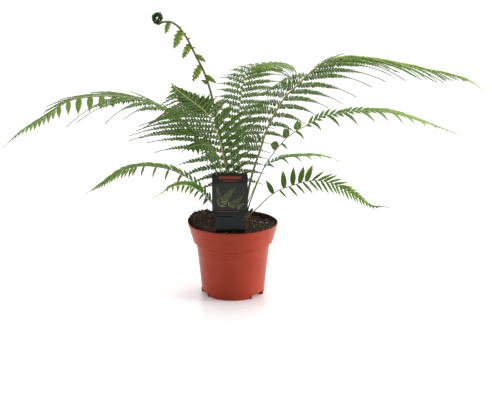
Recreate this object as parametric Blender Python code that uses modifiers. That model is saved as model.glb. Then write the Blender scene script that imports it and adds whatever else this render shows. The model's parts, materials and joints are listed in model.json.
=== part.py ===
# Potted tasmanian tree fern: arching fronds in a tapered plastic nursery pot, with a plant label.
# The origin is the middle of the pot's foot, +Z is up and -Y is the side with the label.
# Every length below is in millimetres and every angle in degrees. Lengths become metres where a
# mesh is made.

import math
import random
from collections import namedtuple

import bmesh
import bpy
import numpy as np
from mathutils import Matrix

MM = 0.001
GAP = 0.3
UP = np.array((0.0, 0.0, 1.0))

# Pot
POT_HEIGHT = 105.0
RIM_RADIUS = 65.0
RIM_ROUND = 0.5
BAND_FOOT_RADIUS = 57.8
BAND_FOOT_HEIGHT = 77.0
STEP_RISE = 1.5
WALL_TOP_RADIUS = 53.2
FOOT_RADIUS = 45.2
FOOT_ROUND = 1.2
WALL = 1.4
POT_FLOOR = 1.6
FLOOR_FILLET = 1.0
POT_SIDES = 36
# Drainage notches under the foot's edge: each has a step over it, inside, with one drain hole
NOTCH_AZIMUTHS = (-38.0, 82.0, 202.0)
NOTCH_WIDTH = 25.0
NOTCH_HEIGHT = 5.4
NOTCH_DEPTH_RADIUS = 37.0
DRAIN_RADIUS = 2.2
DRAIN_SIDES = 10
DRAIN_INSET = 2.6
SINK = 1.2
OVERSHOOT = 4.0

# Soil
SOIL_SIDES = 28
SOIL_RINGS = (0.4, 0.6, 0.8, 0.95)
SOIL_LEVEL = 103.0
SOIL_FOOT = NOTCH_HEIGHT + WALL + GAP
SOIL_GRAIN = 1.0
SOIL_CLEARANCE = 0.5
EDGE_DROP = 1.0
HEAP_CENTRE = (-48.0, 2.0)
HEAP_SIZE = (24.0, 38.0)
HEAP_RISE = 6.5
DIP_CENTRE = (38.0, 40.0)
DIP_SIZE = (26.0, 34.0)
DIP_FALL = 5.5
# Each clod on the rim: azimuth, radius of its middle, and its half sizes outwards, along the rim
# and up
SPILLS = ((162, 61.0, (6.2, 13, 3.6)), (186, 61.4, (6.4, 12, 4.0)), (208, 60.6, (5.6, 11, 3.0)))
SPILL_SPREAD = (0.92, 1.06)

# Crown, the short hairy stump that the fronds grow from
CROWN_CENTRE = (6.5, 1.0)
CROWN_RADIUS = 19.0
CROWN_FOOT = 90.0
CROWN_TOP = 117.0
CROWN_SIDES = 18
# Its dome: shares of the radius, and how far below the top each lies
CROWN_DOME = ((0.42, 0.6), (0.7, 3.4), (0.9, 8.0), (1.0, 14.0))
SEAT_CLEARANCE = 0.55
SEAT_LENGTH = 28.0

# Label
LABEL_CENTRE = (-3.5, -51.5)
LABEL_TOP = 189.0
CARD_FOOT = 131.0
CARD_WIDTH = 49.5
CARD_CORNER = 3.5
CARD_SHOULDER = 2.0
CORNER_ANGLES = (0.0, 30.0, 60.0, 90.0)
STAKE_WIDTH = 41.0
STAKE_SHOULDER = 93.0
STAKE_TIP = 82.0
LABEL_THICKNESS = 0.8
LABEL_SLOT_CLEARANCE = 0.35

# Stems
STEM_BEVEL_RESOLUTION = 1
STEM_SAMPLES = 15
STEM_TAPER = 0.78

# Where the pinnae sit along a stem, and how much one differs from the next
SPACING_POWER = 0.92
LAST_PINNA = 0.985
PAIR_OFFSET = 0.25
SWEEP_POWER = 0.75
LENGTH_FALL_POWER = 1.35
LEAST_LENGTH_SHARE = 0.05
ANGLE_SPREAD = 4.0
LENGTH_SPREAD = (0.93, 1.05)
DROOP_SPREAD = (0.85, 1.15)
# How broad they are: what they may fill of the room between two, and how the short ones narrow
PACKING = 0.85
LEAST_BREADTH = 2.2
SHORT_BREADTH_SHARE = 0.55
BREADTH_LIMIT = 0.7

# The shape of one pinna's blade
SAG_POWER = 2.3
NOTCH_SHARE = 0.58
TOOTH_PLACE = 0.58
BASE_WIDTH_SHARE = 0.6
BASE_FLARE = 2.0
TIP_SHARE = 0.14
TIP_POWER = 0.75
RIB_THICKNESS = 1.1
RIB_TAPER = 0.45
# A pinna longer than each of these gets one more tooth a side
TOOTH_LENGTHS = (9, 23, 50, 96)

# One row of pinnae. reach: its longest pinna, and first the length of its first one against that.
# start: the share of the leafy part where the row begins, and peak where its pinnae are longest.
# sweep: degrees that they lean towards the tip, at the start and the end of the row.
# rise: degrees that they lift out of the frond's plane there. droop: how far they sag, as a share of
# their length, there. breadth: a pinna's full width.
Row = namedtuple("Row", "reach first start peak sweep rise droop breadth")

# path: the stem's centre line from its seat in the crown to the tip.
# sides: the direction of the first row of pinnae at the seat, halfway and at the tip.
# bare: the share of the stem that has no pinnae. pairs: pairs of pinnae.
# stem: the stem's radius at its seat.
Frond = namedtuple("Frond", "name path sides bare pairs stem rows")

FRONDS = (
    Frond(
        "frond_left_long",
        ((-1, 7, 101), (-6, 11, 117), (-20, 22, 164), (-46, 32, 213), (-75, 34, 246), (-98, 32, 264),
         (-118, 28, 274), (-146, 24, 281), (-174, 18, 285), (-201, 10, 285), (-226, 4, 281),
         (-249, 0, 270), (-268, -2, 258), (-299, -4, 238), (-325, -6, 214)),
        ((0, 1, 0.1), (0, 1, 0.1), (0, 1, -0.1)),
        0.3, 14, 2.0,
        (Row(86, 0.4, 0, 0.26, (50, 60), (26, 8), (0.1, 0.2), 12),
         Row(78, 0.55, 0, 0.16, (66, 8), (4, 0), (0.2, 0.42), 12)),
    ),
    Frond(
        "frond_left_low",
        ((-4, 1, 101), (-10, 0, 116), (-31, -8, 138), (-42, -14, 155), (-58, -20, 171), (-76, -26, 183),
         (-94, -32, 191), (-124, -40, 196), (-155, -44, 190), (-181, -44, 173), (-204, -42, 157)),
        ((0.1, 1, 0.3), (0, 1, 0.1), (0, 1, 0)),
        0.17, 12, 1.7,
        (Row(26, 0.5, 0, 0.3, (5, 60), (14, 0), (0.25, 0.4), 8.5),
         Row(23, 0.5, 0, 0.4, (15, 50), (10, 0), (0.35, 0.5), 8.5)),
    ),
    Frond(
        "frond_left_small",
        ((-3, -5, 101), (-8, -9, 114), (-29, -20, 137), (-41, -32, 154), (-51, -42, 164), (-60, -51, 171),
         (-70, -59, 174), (-84, -70, 173), (-95, -76, 167), (-108, -80, 160)),
        ((0.4, 0.9, 0.3), (0.5, 0.85, 0.2), (0.5, 0.85, 0.2)),
        0.32, 7, 1.4,
        (Row(17, 0.6, 0, 0.3, (10, 50), (14, 0), (0.25, 0.4), 7.5),
         Row(15, 0.6, 0, 0.3, (15, 50), (8, 0), (0.4, 0.45), 7.5)),
    ),
    Frond(
        "frond_front",
        ((8, -8, 101), (7, -12, 119), (-4, -24, 165), (-10, -37, 197), (-14, -48, 220), (-19, -62, 244),
         (-24, -72, 257), (-31, -88, 275), (-37, -102, 286), (-46, -122, 297), (-62, -152, 315),
         (-74, -176, 331)),
        ((-1, 0, 0), (-1, 0.1, 0), (-0.9, 0.1, -0.3)),
        0.17, 15, 2.1,
        (Row(122, 0.14, 0, 0.38, (0, 52), (8, 8), (0.2, 0.26), 13.5),
         Row(80, 0.4, 0, 0.45, (20, 50), (4, 4), (0.06, 0.12), 13.5)),
    ),
    Frond(
        "frond_front_short",
        ((2, -8, 101), (0, -14, 118), (-8, -34, 167), (-17, -58, 205), (-26, -80, 228), (-37, -98, 238),
         (-48, -110, 239), (-57, -118, 238), (-65, -124, 233)),
        ((-0.6, 0.7, 0.1), (-0.4, 0.8, 0.3), (0.4, 0.9, 0.2)),
        0.47, 7, 1.6,
        (Row(24, 0.5, 0, 0.35, (20, 50), (0, 0), (0.3, 0.4), 9),
         Row(32, 0.5, 0, 0.35, (5, 40), (0, -8), (0.4, 0.5), 9)),
    ),
    Frond(
        "frond_right_long",
        ((14, 3, 101), (17, 2, 117), (25, -8, 167), (38, -18, 212), (49, -23, 247), (70, -24, 286),
         (89, -22, 305), (107, -20, 323), (127, -18, 337), (148, -16, 343), (168, -14, 344),
         (203, -10, 340), (239, -6, 333), (267, -2, 326), (303, 2, 318), (332, 6, 308), (353, 8, 293)),
        ((-0.85, 0.3, 0.43), (-0.25, 0.95, 0.2), (0, 1, 0)),
        0.2, 17, 2.2,
        (Row(74, 0.5, 0, 0.18, (-28, 64), (6, -38), (0.12, 0.2), 12.5),
         Row(108, 0.2, 0.12, 0.4, (18, 72), (0, 4), (0.2, 0.08), 12.5)),
    ),
    Frond(
        "frond_right_mid",
        ((16, -3, 101), (20, -5, 117), (25, -14, 139), (42, -34, 189), (56, -45, 215), (66, -51, 229),
         (75, -57, 240), (86, -61, 249), (99, -63, 257), (112, -66, 265), (125, -69, 272), (144, -72, 275),
         (164, -75, 279), (190, -78, 280), (210, -80, 279), (236, -80, 272), (263, -80, 263),
         (284, -80, 255), (303, -80, 248)),
        ((-0.6, 0.4, 0.7), (-0.1, 0.8, 0.3), (0, 1, 0)),
        0.3, 13, 1.8,
        (Row(20, 0.9, 0, 0.05, (-10, 55), (0, 0), (0, 0.3), 12),
         Row(34, 0.35, 0, 0.42, (34, 52), (0, 0), (0.14, 0.3), 10)),
    ),
    Frond(
        "frond_right_small",
        ((12, 9, 101), (16, 12, 116), (30, 17, 149), (42, 21, 174), (51, 24, 185), (61, 27, 190),
         (74, 30, 194), (96, 36, 195), (120, 40, 195), (140, 44, 191), (152, 46, 186), (165, 48, 181)),
        ((-0.3, 1, 0.2), (-0.3, 1, 0.1), (-0.2, 1, 0)),
        0.4, 8, 1.4,
        (Row(20, 0.5, 0, 0.3, (20, 55), (5, 0), (0.3, 0.3), 7.5),
         Row(26, 0.7, 0, 0.2, (20, 50), (5, 0), (0.3, 0.3), 7.5)),
    ),
    Frond(
        "frond_right_low",
        ((14, -9, 101), (20, -13, 114), (34, -18, 129), (47, -24, 144), (58, -30, 155), (68, -36, 162),
         (79, -40, 167), (89, -46, 172), (99, -50, 176), (110, -54, 179), (123, -58, 179), (136, -62, 177),
         (150, -66, 171), (161, -70, 166), (174, -74, 158), (185, -76, 151), (193, -78, 148),
         (205, -80, 149), (214, -82, 147)),
        ((-0.5, 0.45, 0.75), (-0.1, 0.5, 0.85), (0, 0.8, 0.6)),
        0.19, 12, 1.6,
        (Row(27, 0.6, 0, 0.3, (-22, 74), (0, 0), (0, 0.1), 11),
         Row(24, 0.5, 0, 0.35, (24, 70), (0, 0), (0, 0.1), 8)),
    ),
    Frond(
        "frond_back",
        ((5, 10, 101), (6, 16, 116), (7, 34, 170), (8, 56, 229), (9, 70, 256), (11, 78, 269), (13, 88, 283),
         (16, 98, 296), (20, 110, 307), (29, 122, 313), (44, 132, 316), (70, 140, 317), (86, 142, 313),
         (94, 143, 304), (99, 143, 292)),
        ((-1, 0, 0), (-1, 0.1, 0), (0, 1, 0.1)),
        0.16, 14, 2.0,
        (Row(42, 0.6, 0, 0.5, (0, 34), (6, 0), (0.2, 0.2), 9.5),
         Row(58, 0.6, 0, 0.62, (6, 44), (6, 0), (0.16, 0.26), 9.5)),
    ),
)

# Crozier: the young frond whose tip is still coiled
CROZIER_STEM = (
    (7, 2, 101), (5, 3, 118), (-6, 7, 179), (-20, 10, 237), (-29, 12, 283), (-35, 12, 305), (-41, 12, 322),
    (-48, 12, 336), (-55, 12, 350), (-62, 12, 364), (-69, 12, 375), (-77, 12, 384), (-86, 12, 389),
    (-93, 12, 389),
)
COIL_CENTRE = (-103.0, 12.0, 394.5)
COIL_START_ANGLE = -50.0
COIL_TURNS = 1.7
COIL_OUTER_RADIUS = 8.2
COIL_INNER_RADIUS = 2.0
COIL_POINTS_PER_TURN = 14
CROZIER_SEAT_RADIUS = 1.9
CROZIER_NECK_RADIUS = 1.5
CROZIER_TIP_RADIUS = 0.8
# Each young pinna: where on the stem, as a share of its length, its length, and where its tip hangs
YOUNG_PINNAE = (
    (0.655, 16, (-0.8, -0.3, 0.5)),
    (0.74, 27, (-0.62, -0.25, -0.76)),
    (0.7, 9, (0.7, -0.3, 0.6)),
    (0.80, 9, (0.7, -0.3, 0.6)),
    (0.816, 28, (-0.52, -0.25, -0.83)),
    (0.865, 9, (0.7, -0.3, 0.6)),
    (0.907, 32, (-0.5, -0.25, -0.84)),
    (0.978, 20, (-0.42, -0.25, -0.88)),
)
YOUNG_BREADTH = 13.0
YOUNG_BREADTH_LIMIT = 0.6
YOUNG_DROOP = 0.1
YOUNG_ACROSS = (0.2, 1.0, 0.1)

# Colours, and how rough each material is
LEAF_GREEN = (0.09, 0.19, 0.04, 1.0)
SCALE_BROWN = (0.09, 0.05, 0.02, 1.0)
POT_ORANGE = (0.42, 0.08, 0.03, 1.0)
SOIL_BROWN = (0.02, 0.011, 0.006, 1.0)
CARD_BLACK = (0.012, 0.012, 0.012, 1.0)
LEAF_ROUGHNESS = 0.5
SCALE_ROUGHNESS = 0.9
POT_ROUGHNESS = 0.42
SOIL_ROUGHNESS = 0.95
CARD_ROUGHNESS = 0.35
SMOOTH_ANGLE = 30.0


def material(name, colour, roughness, metallic=0.0):
    made = bpy.data.materials.new(name)
    made.use_nodes = True
    shader = made.node_tree.nodes["Principled BSDF"]
    shader.inputs["Base Color"].default_value = colour
    shader.inputs["Roughness"].default_value = roughness
    shader.inputs["Metallic"].default_value = metallic
    made.diffuse_color = colour
    return made


def collection(name):
    made = bpy.data.collections.new(name)
    bpy.context.scene.collection.children.link(made)
    return made


def evaluated_mesh(obj):
    """What an object's curve or modifiers give, as a mesh of its own."""
    graph = bpy.context.evaluated_depsgraph_get()
    graph.update()
    return bpy.data.meshes.new_from_object(obj.evaluated_get(graph))


def tidy_faces(mesh, weld=0.0):
    """Turns every face outwards, after joining the points closer than weld metres."""
    shell = bmesh.new()
    shell.from_mesh(mesh)
    if weld:
        bmesh.ops.remove_doubles(shell, verts=shell.verts, dist=weld)
    bmesh.ops.recalc_face_normals(shell, faces=shell.faces)
    shell.to_mesh(mesh)
    shell.free()


def unit(vector):
    return vector / np.linalg.norm(vector)


def smooth_curve(points, per_span=8):
    """Points close together along a Catmull-Rom curve through the given ones."""
    given = np.array(points, float)
    given = np.vstack((2 * given[0] - given[1], given, 2 * given[-1] - given[-2]))
    curve = []
    for before, start, end, after in zip(given, given[1:], given[2:], given[3:]):
        for t in np.arange(per_span) / per_span:
            curve.append(
                0.5 * (
                    2 * start + (end - before) * t
                    + (2 * before - 5 * start + 4 * end - after) * t * t
                    + (3 * start - before - 3 * end + after) * t ** 3
                )
            )
    curve.append(given[-2])
    return np.array(curve)


def walked_lengths(line):
    """How far along a line each of its points lies."""
    steps = np.linalg.norm(np.diff(line, axis=0), axis=1)
    return np.concatenate(([0.0], np.cumsum(steps)))


def along(curve, shares):
    """Points at the given shares of a curve's length."""
    walked = walked_lengths(curve)
    walked /= walked[-1]
    return np.stack([np.interp(shares, walked, curve[:, axis]) for axis in range(3)], axis=-1)


def direction_at(curve, share, step=0.004):
    ends = along(curve, np.clip((share - step, share + step), 0, 1))
    return unit(ends[1] - ends[0])


def side_at(frond, share, heading):
    """The direction square to the stem in which the first row of pinnae points."""
    wanted = np.array([
        np.interp(share, (0, 0.5, 1), [side[axis] for side in frond.sides]) for axis in range(3)
    ])
    return unit(wanted - heading * wanted.dot(heading))


def length_share(leafy, row):
    """A pinna's length against its row's longest, at a share of the leafy part of the stem."""
    if leafy < row.peak:
        return np.interp(leafy, (row.start, row.peak), (row.first, 1))
    fall = ((leafy - row.peak) / (1 - row.peak)) ** LENGTH_FALL_POWER
    return max(LEAST_LENGTH_SHARE, 1 - fall)


def stem_radius(frond, share):
    return frond.stem * (1 - STEM_TAPER * share)


def stem_line(frond):
    return along(smooth_curve(frond.path), np.linspace(0, 1, STEM_SAMPLES))


def pinna_plan(frond):
    """Each pinna's base, direction, upper face, length, droop and width, one row after the other."""
    dice = random.Random(frond.name)
    line = stem_line(frond)
    spacing = (1 - frond.bare) * walked_lengths(line)[-1] / frond.pairs
    pinnae = []
    for side_sign, row in zip((1, -1), frond.rows):
        for index in range(frond.pairs):
            leafy = ((index + 0.5 - PAIR_OFFSET * side_sign) / frond.pairs) ** SPACING_POWER
            if leafy < row.start:
                continue
            share = frond.bare + (LAST_PINNA - frond.bare) * leafy
            heading = direction_at(line, share)
            side = side_sign * side_at(frond, share, heading)
            face = side_sign * unit(np.cross(heading, side))
            progress = ((leafy - row.start) / (1 - row.start)) ** SWEEP_POWER
            sweep = np.interp(progress, (0, 1), row.sweep) + dice.uniform(-ANGLE_SPREAD, ANGLE_SPREAD)
            rise = np.interp(progress, (0, 1), row.rise) + dice.uniform(-ANGLE_SPREAD, ANGLE_SPREAD)
            sweep, rise = math.radians(sweep), math.radians(rise)
            flat = math.cos(sweep) * side + math.sin(sweep) * heading
            length = row.reach * length_share(leafy, row) * dice.uniform(*LENGTH_SPREAD)
            droop = np.interp(leafy, (row.start, 1), row.droop) * dice.uniform(*DROOP_SPREAD)
            breadth = max(LEAST_BREADTH, min(row.breadth, PACKING * spacing * math.cos(sweep)))
            breadth *= SHORT_BREADTH_SHARE + (1 - SHORT_BREADTH_SHARE) * length / row.reach
            pinnae.append((
                along(line, [share])[0],
                math.cos(rise) * flat + math.sin(rise) * face,
                face,
                length,
                droop,
                min(breadth, BREADTH_LIMIT * length),
            ))
    return pinnae


def pinna_spine(base, out, length, droop, shares):
    """Points along a pinna's rib, which leaves the stem straight and then sags."""
    reach = np.outer(np.asarray(shares) * length, out)
    sag = np.outer(droop * length * np.asarray(shares) ** SAG_POWER, UP)
    return base + reach - sag


def blade_width(share):
    """A pinna's width against its widest, at a share of its length."""
    widening = min(1.0, BASE_WIDTH_SHARE + BASE_FLARE * share)
    return widening * (TIP_SHARE + (1 - TIP_SHARE) * (1 - share) ** TIP_POWER)


def toothed_blade(name, base, out, face, length, droop, breadth, group):
    """One pinna as a closed blade: a rib on the upper face, and an outline cut into teeth towards it."""
    teeth = 1 + sum(length > least for least in TOOTH_LENGTHS)
    notches = np.arange(teeth + 1) / teeth
    tips = notches[:-1] + TOOTH_PLACE / teeth
    rib = pinna_spine(base, out, length, droop, notches)
    tip_line = rib[:-1] + TOOTH_PLACE * np.diff(rib, axis=0)
    forward = unit(rib[-1] - rib[0])
    across = unit(np.cross(face, forward))
    upward = unit(np.cross(forward, across))
    points = []
    faces = []
    crest = []
    edges = ([], [])
    for step in range(teeth):
        half_rib = upward * RIB_THICKNESS / 2 * (1 - RIB_TAPER * notches[step])
        notch_reach = across * breadth / 2 * blade_width(notches[step]) * NOTCH_SHARE
        tooth_reach = across * breadth / 2 * blade_width(tips[step])
        crest.append(len(points))
        points.append(rib[step] + half_rib)
        for hand, edge in zip((1, -1), edges):
            edge += [len(points), len(points) + 1]
            points.append(rib[step] + hand * notch_reach - half_rib)
            points.append(tip_line[step] + hand * tooth_reach - half_rib)
    end = len(points)
    points.append(rib[-1] - upward * RIB_THICKNESS / 2 * (1 - RIB_TAPER))
    for edge in (crest, *edges):
        edge.append(end)
    for step in range(teeth):
        here, there = crest[step], crest[step + 1]
        left, right = (edge[2 * step : 2 * step + 3] for edge in edges)
        for notch, tooth, following in (left, right):
            faces += [(here, notch, tooth), (here, tooth, following)]
            if following != there:
                faces.append((here, following, there))
        faces += [left, right, (left[0], left[2], right[0])]
        if left[2] != right[2]:
            faces.append((left[2], right[2], right[0]))
    faces.append((crest[0], edges[0][0], edges[1][0]))
    mesh = bpy.data.meshes.new(name)
    mesh.from_pydata([tuple(point * MM) for point in points], [], faces)
    tidy_faces(mesh)
    blade = bpy.data.objects.new(name, mesh)
    group.objects.link(blade)
    return blade


def tube(name, line, radii, group):
    """A tapering stem with filled caps, as a mesh."""
    curve = bpy.data.curves.new(name, "CURVE")
    curve.dimensions = "3D"
    curve.bevel_depth = MM
    curve.bevel_resolution = STEM_BEVEL_RESOLUTION
    curve.use_fill_caps = True
    spline = curve.splines.new("POLY")
    spline.points.add(len(line) - 1)
    for point, centre, radius in zip(spline.points, line, radii):
        point.co = (*(centre * MM), 1)
        point.radius = radius
    return meshed(name, curve, group)


def meshed(name, curve, group, place=Matrix()):
    """A curve made into a mesh object, with its loose caps welded on."""
    drawn = bpy.data.objects.new(name + "_curve", curve)
    drawn.matrix_world = place
    group.objects.link(drawn)
    made = bpy.data.objects.new(name, evaluated_mesh(drawn))
    made.matrix_world = drawn.matrix_world
    group.objects.link(made)
    bpy.data.objects.remove(drawn)
    tidy_faces(made.data, weld=1e-6)
    return made


def apply_boolean(obj, operation, others, solver="EXACT"):
    """Joins or cuts obj with a collection's objects, then removes them."""
    modifier = obj.modifiers.new(operation.lower(), "BOOLEAN")
    modifier.operation = operation
    modifier.operand_type = "COLLECTION"
    modifier.collection = others
    modifier.solver = solver
    joined = evaluated_mesh(obj)
    obj.modifiers.clear()
    obj.data = joined
    for other in list(others.objects):
        bpy.data.objects.remove(other)
    bpy.data.collections.remove(others)
    drop_scraps(obj)


def drop_scraps(obj):
    """Keeps only the body with the most points, without any loose scrap that a join left beside it."""
    shell = bmesh.new()
    shell.from_mesh(obj.data)
    left = set(shell.verts)
    bodies = []
    while left:
        body = set()
        front = [left.pop()]
        while front:
            vertex = front.pop()
            body.add(vertex)
            near = {edge.other_vert(vertex) for edge in vertex.link_edges} & left
            left -= near
            front += near
        bodies.append(body)
    bodies.sort(key=len)
    scraps = [vertex for body in bodies[:-1] for vertex in body]
    bmesh.ops.delete(shell, geom=scraps, context="VERTS")
    shell.to_mesh(obj.data)
    shell.free()


def build_frond(frond, group):
    radii = [stem_radius(frond, share) for share in np.linspace(0, 1, STEM_SAMPLES)]
    stem = tube(frond.name, stem_line(frond), radii, group)
    pinnae = collection(frond.name + "_pinnae")
    for index, pinna in enumerate(pinna_plan(frond)):
        toothed_blade(f"{frond.name}_pinna_{index}", *pinna, pinnae)
    apply_boolean(stem, "UNION", pinnae, solver="MANIFOLD")
    return stem


def crozier_coil():
    """The coiled tip's centre line, from the outside to its middle."""
    shares = np.linspace(0, 1, int(COIL_TURNS * COIL_POINTS_PER_TURN) + 1)
    angles = np.radians(COIL_START_ANGLE - 360 * COIL_TURNS * shares)
    radii = COIL_OUTER_RADIUS + (COIL_INNER_RADIUS - COIL_OUTER_RADIUS) * shares
    turn = np.stack((radii * np.cos(angles), np.zeros(len(shares)), radii * np.sin(angles)), axis=-1)
    return turn + COIL_CENTRE


def crozier_straight():
    """The young frond's stem, from its seat to the start of the coil."""
    return along(smooth_curve(CROZIER_STEM), np.linspace(0, 1, STEM_SAMPLES))


def build_crozier(group):
    straight = crozier_straight()
    line = np.vstack((straight, crozier_coil()))
    radii = np.interp(
        np.arange(len(line)),
        (0, len(straight), len(line) - 1),
        (CROZIER_SEAT_RADIUS, CROZIER_NECK_RADIUS, CROZIER_TIP_RADIUS),
    )
    stem = tube("frond_crozier", line, radii, group)
    pinnae = collection("young_pinnae")
    for index, (share, length, hang) in enumerate(YOUNG_PINNAE):
        base = along(straight, [share])[0]
        out = unit(np.array(hang))
        face = unit(np.cross(np.cross(out, YOUNG_ACROSS), out))
        breadth = min(YOUNG_BREADTH, YOUNG_BREADTH_LIMIT * length)
        toothed_blade(f"young_{index}", base, out, face, length, YOUNG_DROOP, breadth, pinnae)
    apply_boolean(stem, "UNION", pinnae, solver="MANIFOLD")
    return stem


def seat_cutter(name, line, radius, group):
    """A hole in the crown for one stem: the stem's own foot, wider and a little longer."""
    foot = line[: np.searchsorted(walked_lengths(line), SEAT_LENGTH) + 1].copy()
    foot[0] -= unit(foot[1] - foot[0]) * GAP
    return tube(name + "_seat", foot, [radius + SEAT_CLEARANCE] * len(foot), group)


def turned(name, profile, sides, group, centre=(0.0, 0.0)):
    """A turned solid on an upright axis. Its profile runs down the outer side."""
    points = [(radius * MM, 0, height * MM) for radius, height in profile]
    mesh = bpy.data.meshes.new(name)
    mesh.from_pydata(points, [(i, i + 1) for i in range(len(points) - 1)], [])
    made = bpy.data.objects.new(name, mesh)
    group.objects.link(made)
    screw = made.modifiers.new("turn", "SCREW")
    screw.steps = screw.render_steps = sides
    screw.use_merge_vertices = True
    screw.merge_threshold = 1e-5
    made.data = evaluated_mesh(made)
    made.modifiers.clear()
    made.data.transform(Matrix.Translation((centre[0] * MM, centre[1] * MM, 0)))
    tidy_faces(made.data)
    return made


def block(name, low, high, group, turn):
    """A box between two corners, turned about the pot's axis."""
    low, high = np.array(low), np.array(high)
    place = Matrix.Rotation(math.radians(turn), 4, "Z") @ Matrix.Translation((low + high) / 2 * MM)
    size = Matrix.Diagonal((*((high - low) * MM), 1))
    shell = bmesh.new()
    bmesh.ops.create_cube(shell, size=1, matrix=place @ size)
    mesh = bpy.data.meshes.new(name)
    shell.to_mesh(mesh)
    shell.free()
    group.objects.link(bpy.data.objects.new(name, mesh))


def drain(name, azimuth, group):
    """The cutter of one drain hole, through the step over a notch."""
    height = NOTCH_HEIGHT + WALL + 2 * OVERSHOOT
    turn = Matrix.Rotation(math.radians(azimuth), 4, "Z")
    place = turn @ Matrix.Translation(((NOTCH_DEPTH_RADIUS + DRAIN_INSET) * MM, 0, NOTCH_HEIGHT * MM))
    shell = bmesh.new()
    bmesh.ops.create_cone(
        shell, cap_ends=True, segments=DRAIN_SIDES, radius1=DRAIN_RADIUS * MM, radius2=DRAIN_RADIUS * MM,
        depth=height * MM, matrix=place,
    )
    mesh = bpy.data.meshes.new(name)
    shell.to_mesh(mesh)
    shell.free()
    group.objects.link(bpy.data.objects.new(name, mesh))


def inner_radius(height):
    """The pot's inner radius at a height."""
    return np.interp(
        height,
        (0, BAND_FOOT_HEIGHT - STEP_RISE, BAND_FOOT_HEIGHT + STEP_RISE, POT_HEIGHT),
        (FOOT_RADIUS - WALL, WALL_TOP_RADIUS - WALL, BAND_FOOT_RADIUS - WALL, RIM_RADIUS - WALL),
    )


def build_pot(group):
    profile = (
        (0, POT_FLOOR),
        (inner_radius(POT_FLOOR) - FLOOR_FILLET, POT_FLOOR),
        (inner_radius(POT_FLOOR + FLOOR_FILLET), POT_FLOOR + FLOOR_FILLET),
        (inner_radius(BAND_FOOT_HEIGHT - STEP_RISE), BAND_FOOT_HEIGHT - STEP_RISE),
        (inner_radius(BAND_FOOT_HEIGHT + STEP_RISE), BAND_FOOT_HEIGHT + STEP_RISE),
        (inner_radius(POT_HEIGHT), POT_HEIGHT - RIM_ROUND),
        (RIM_RADIUS - WALL / 2, POT_HEIGHT),
        (RIM_RADIUS, POT_HEIGHT - RIM_ROUND),
        (BAND_FOOT_RADIUS, BAND_FOOT_HEIGHT),
        (WALL_TOP_RADIUS, BAND_FOOT_HEIGHT - STEP_RISE),
        (FOOT_RADIUS + FOOT_ROUND / 2, FOOT_ROUND),
        (FOOT_RADIUS - FOOT_ROUND / 2, 0),
        (0, 0),
    )
    pot = turned("pot", profile, POT_SIDES, group)
    steps = collection("notch_steps")
    cuts = collection("pot_cuts")
    half_width = NOTCH_WIDTH / 2
    for index, azimuth in enumerate(NOTCH_AZIMUTHS):
        block(
            f"notch_step_{index}",
            (NOTCH_DEPTH_RADIUS - WALL, -half_width - WALL, POT_FLOOR - SINK),
            (FOOT_RADIUS - WALL / 2, half_width + WALL, NOTCH_HEIGHT + WALL),
            steps, azimuth,
        )
        block(
            f"notch_{index}",
            (NOTCH_DEPTH_RADIUS, -half_width, -OVERSHOOT),
            (FOOT_RADIUS + OVERSHOOT, half_width, NOTCH_HEIGHT),
            cuts, azimuth,
        )
        drain(f"drain_{index}", azimuth, cuts)
    apply_boolean(pot, "UNION", steps)
    apply_boolean(pot, "DIFFERENCE", cuts)
    return pot


def mound(x, y, centre, size):
    """A smooth round mound, 1 at its centre."""
    return math.exp(-(((x - centre[0]) / size[0]) ** 2) - ((y - centre[1]) / size[1]) ** 2)


def soil_level(x, y):
    """The soil's height: heaped up on the left, sunk at the back right and level elsewhere."""
    heap = HEAP_RISE * mound(x, y, HEAP_CENTRE, HEAP_SIZE)
    dip = DIP_FALL * mound(x, y, DIP_CENTRE, DIP_SIZE)
    return SOIL_LEVEL + heap - dip


def build_soil(group):
    dice = random.Random("soil")
    flat_share = math.cos(math.pi / POT_SIDES)
    step_foot, step_top = BAND_FOOT_HEIGHT - STEP_RISE, BAND_FOOT_HEIGHT + STEP_RISE
    top_radius = inner_radius(SOIL_LEVEL - DIP_FALL) * flat_share - SOIL_CLEARANCE
    profile = [(share * top_radius, SOIL_LEVEL) for share in (0, *SOIL_RINGS)]
    profile.append((top_radius, SOIL_LEVEL - EDGE_DROP))
    for height in (step_top + GAP, step_foot - GAP, SOIL_FOOT):
        profile.append((inner_radius(height) * flat_share - SOIL_CLEARANCE, height))
    profile.append((0, SOIL_FOOT))
    soil = turned("soil", profile, SOIL_SIDES, group)
    for vertex in soil.data.vertices:
        x, y, z = np.array(vertex.co) / MM
        if z > SOIL_LEVEL - EDGE_DROP - GAP:
            vertex.co.z += (soil_level(x, y) - SOIL_LEVEL) * MM
        if z > SOIL_LEVEL - GAP:
            vertex.co.z += dice.uniform(-SOIL_GRAIN, SOIL_GRAIN) * MM
    shell = bmesh.new()
    shell.from_mesh(soil.data)
    bmesh.ops.triangulate(shell, faces=shell.faces)
    shell.to_mesh(soil.data)
    shell.free()
    clods = collection("spilled_soil")
    for index, (azimuth, radius, size) in enumerate(SPILLS):
        spill(f"spill_{index}", azimuth, radius, size, clods, dice)
    apply_boolean(soil, "UNION", clods)
    cuts = collection("soil_cuts")
    seat_radius = CROWN_RADIUS + GAP
    seat_profile = (
        (0, CROWN_TOP), (seat_radius, CROWN_TOP), (seat_radius, CROWN_FOOT - GAP), (0, CROWN_FOOT - GAP),
    )
    turned("crown_seat", seat_profile, CROWN_SIDES, cuts, CROWN_CENTRE)
    label_shape("label_slot", LABEL_SLOT_CLEARANCE, cuts)
    apply_boolean(soil, "DIFFERENCE", cuts)
    return soil


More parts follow.
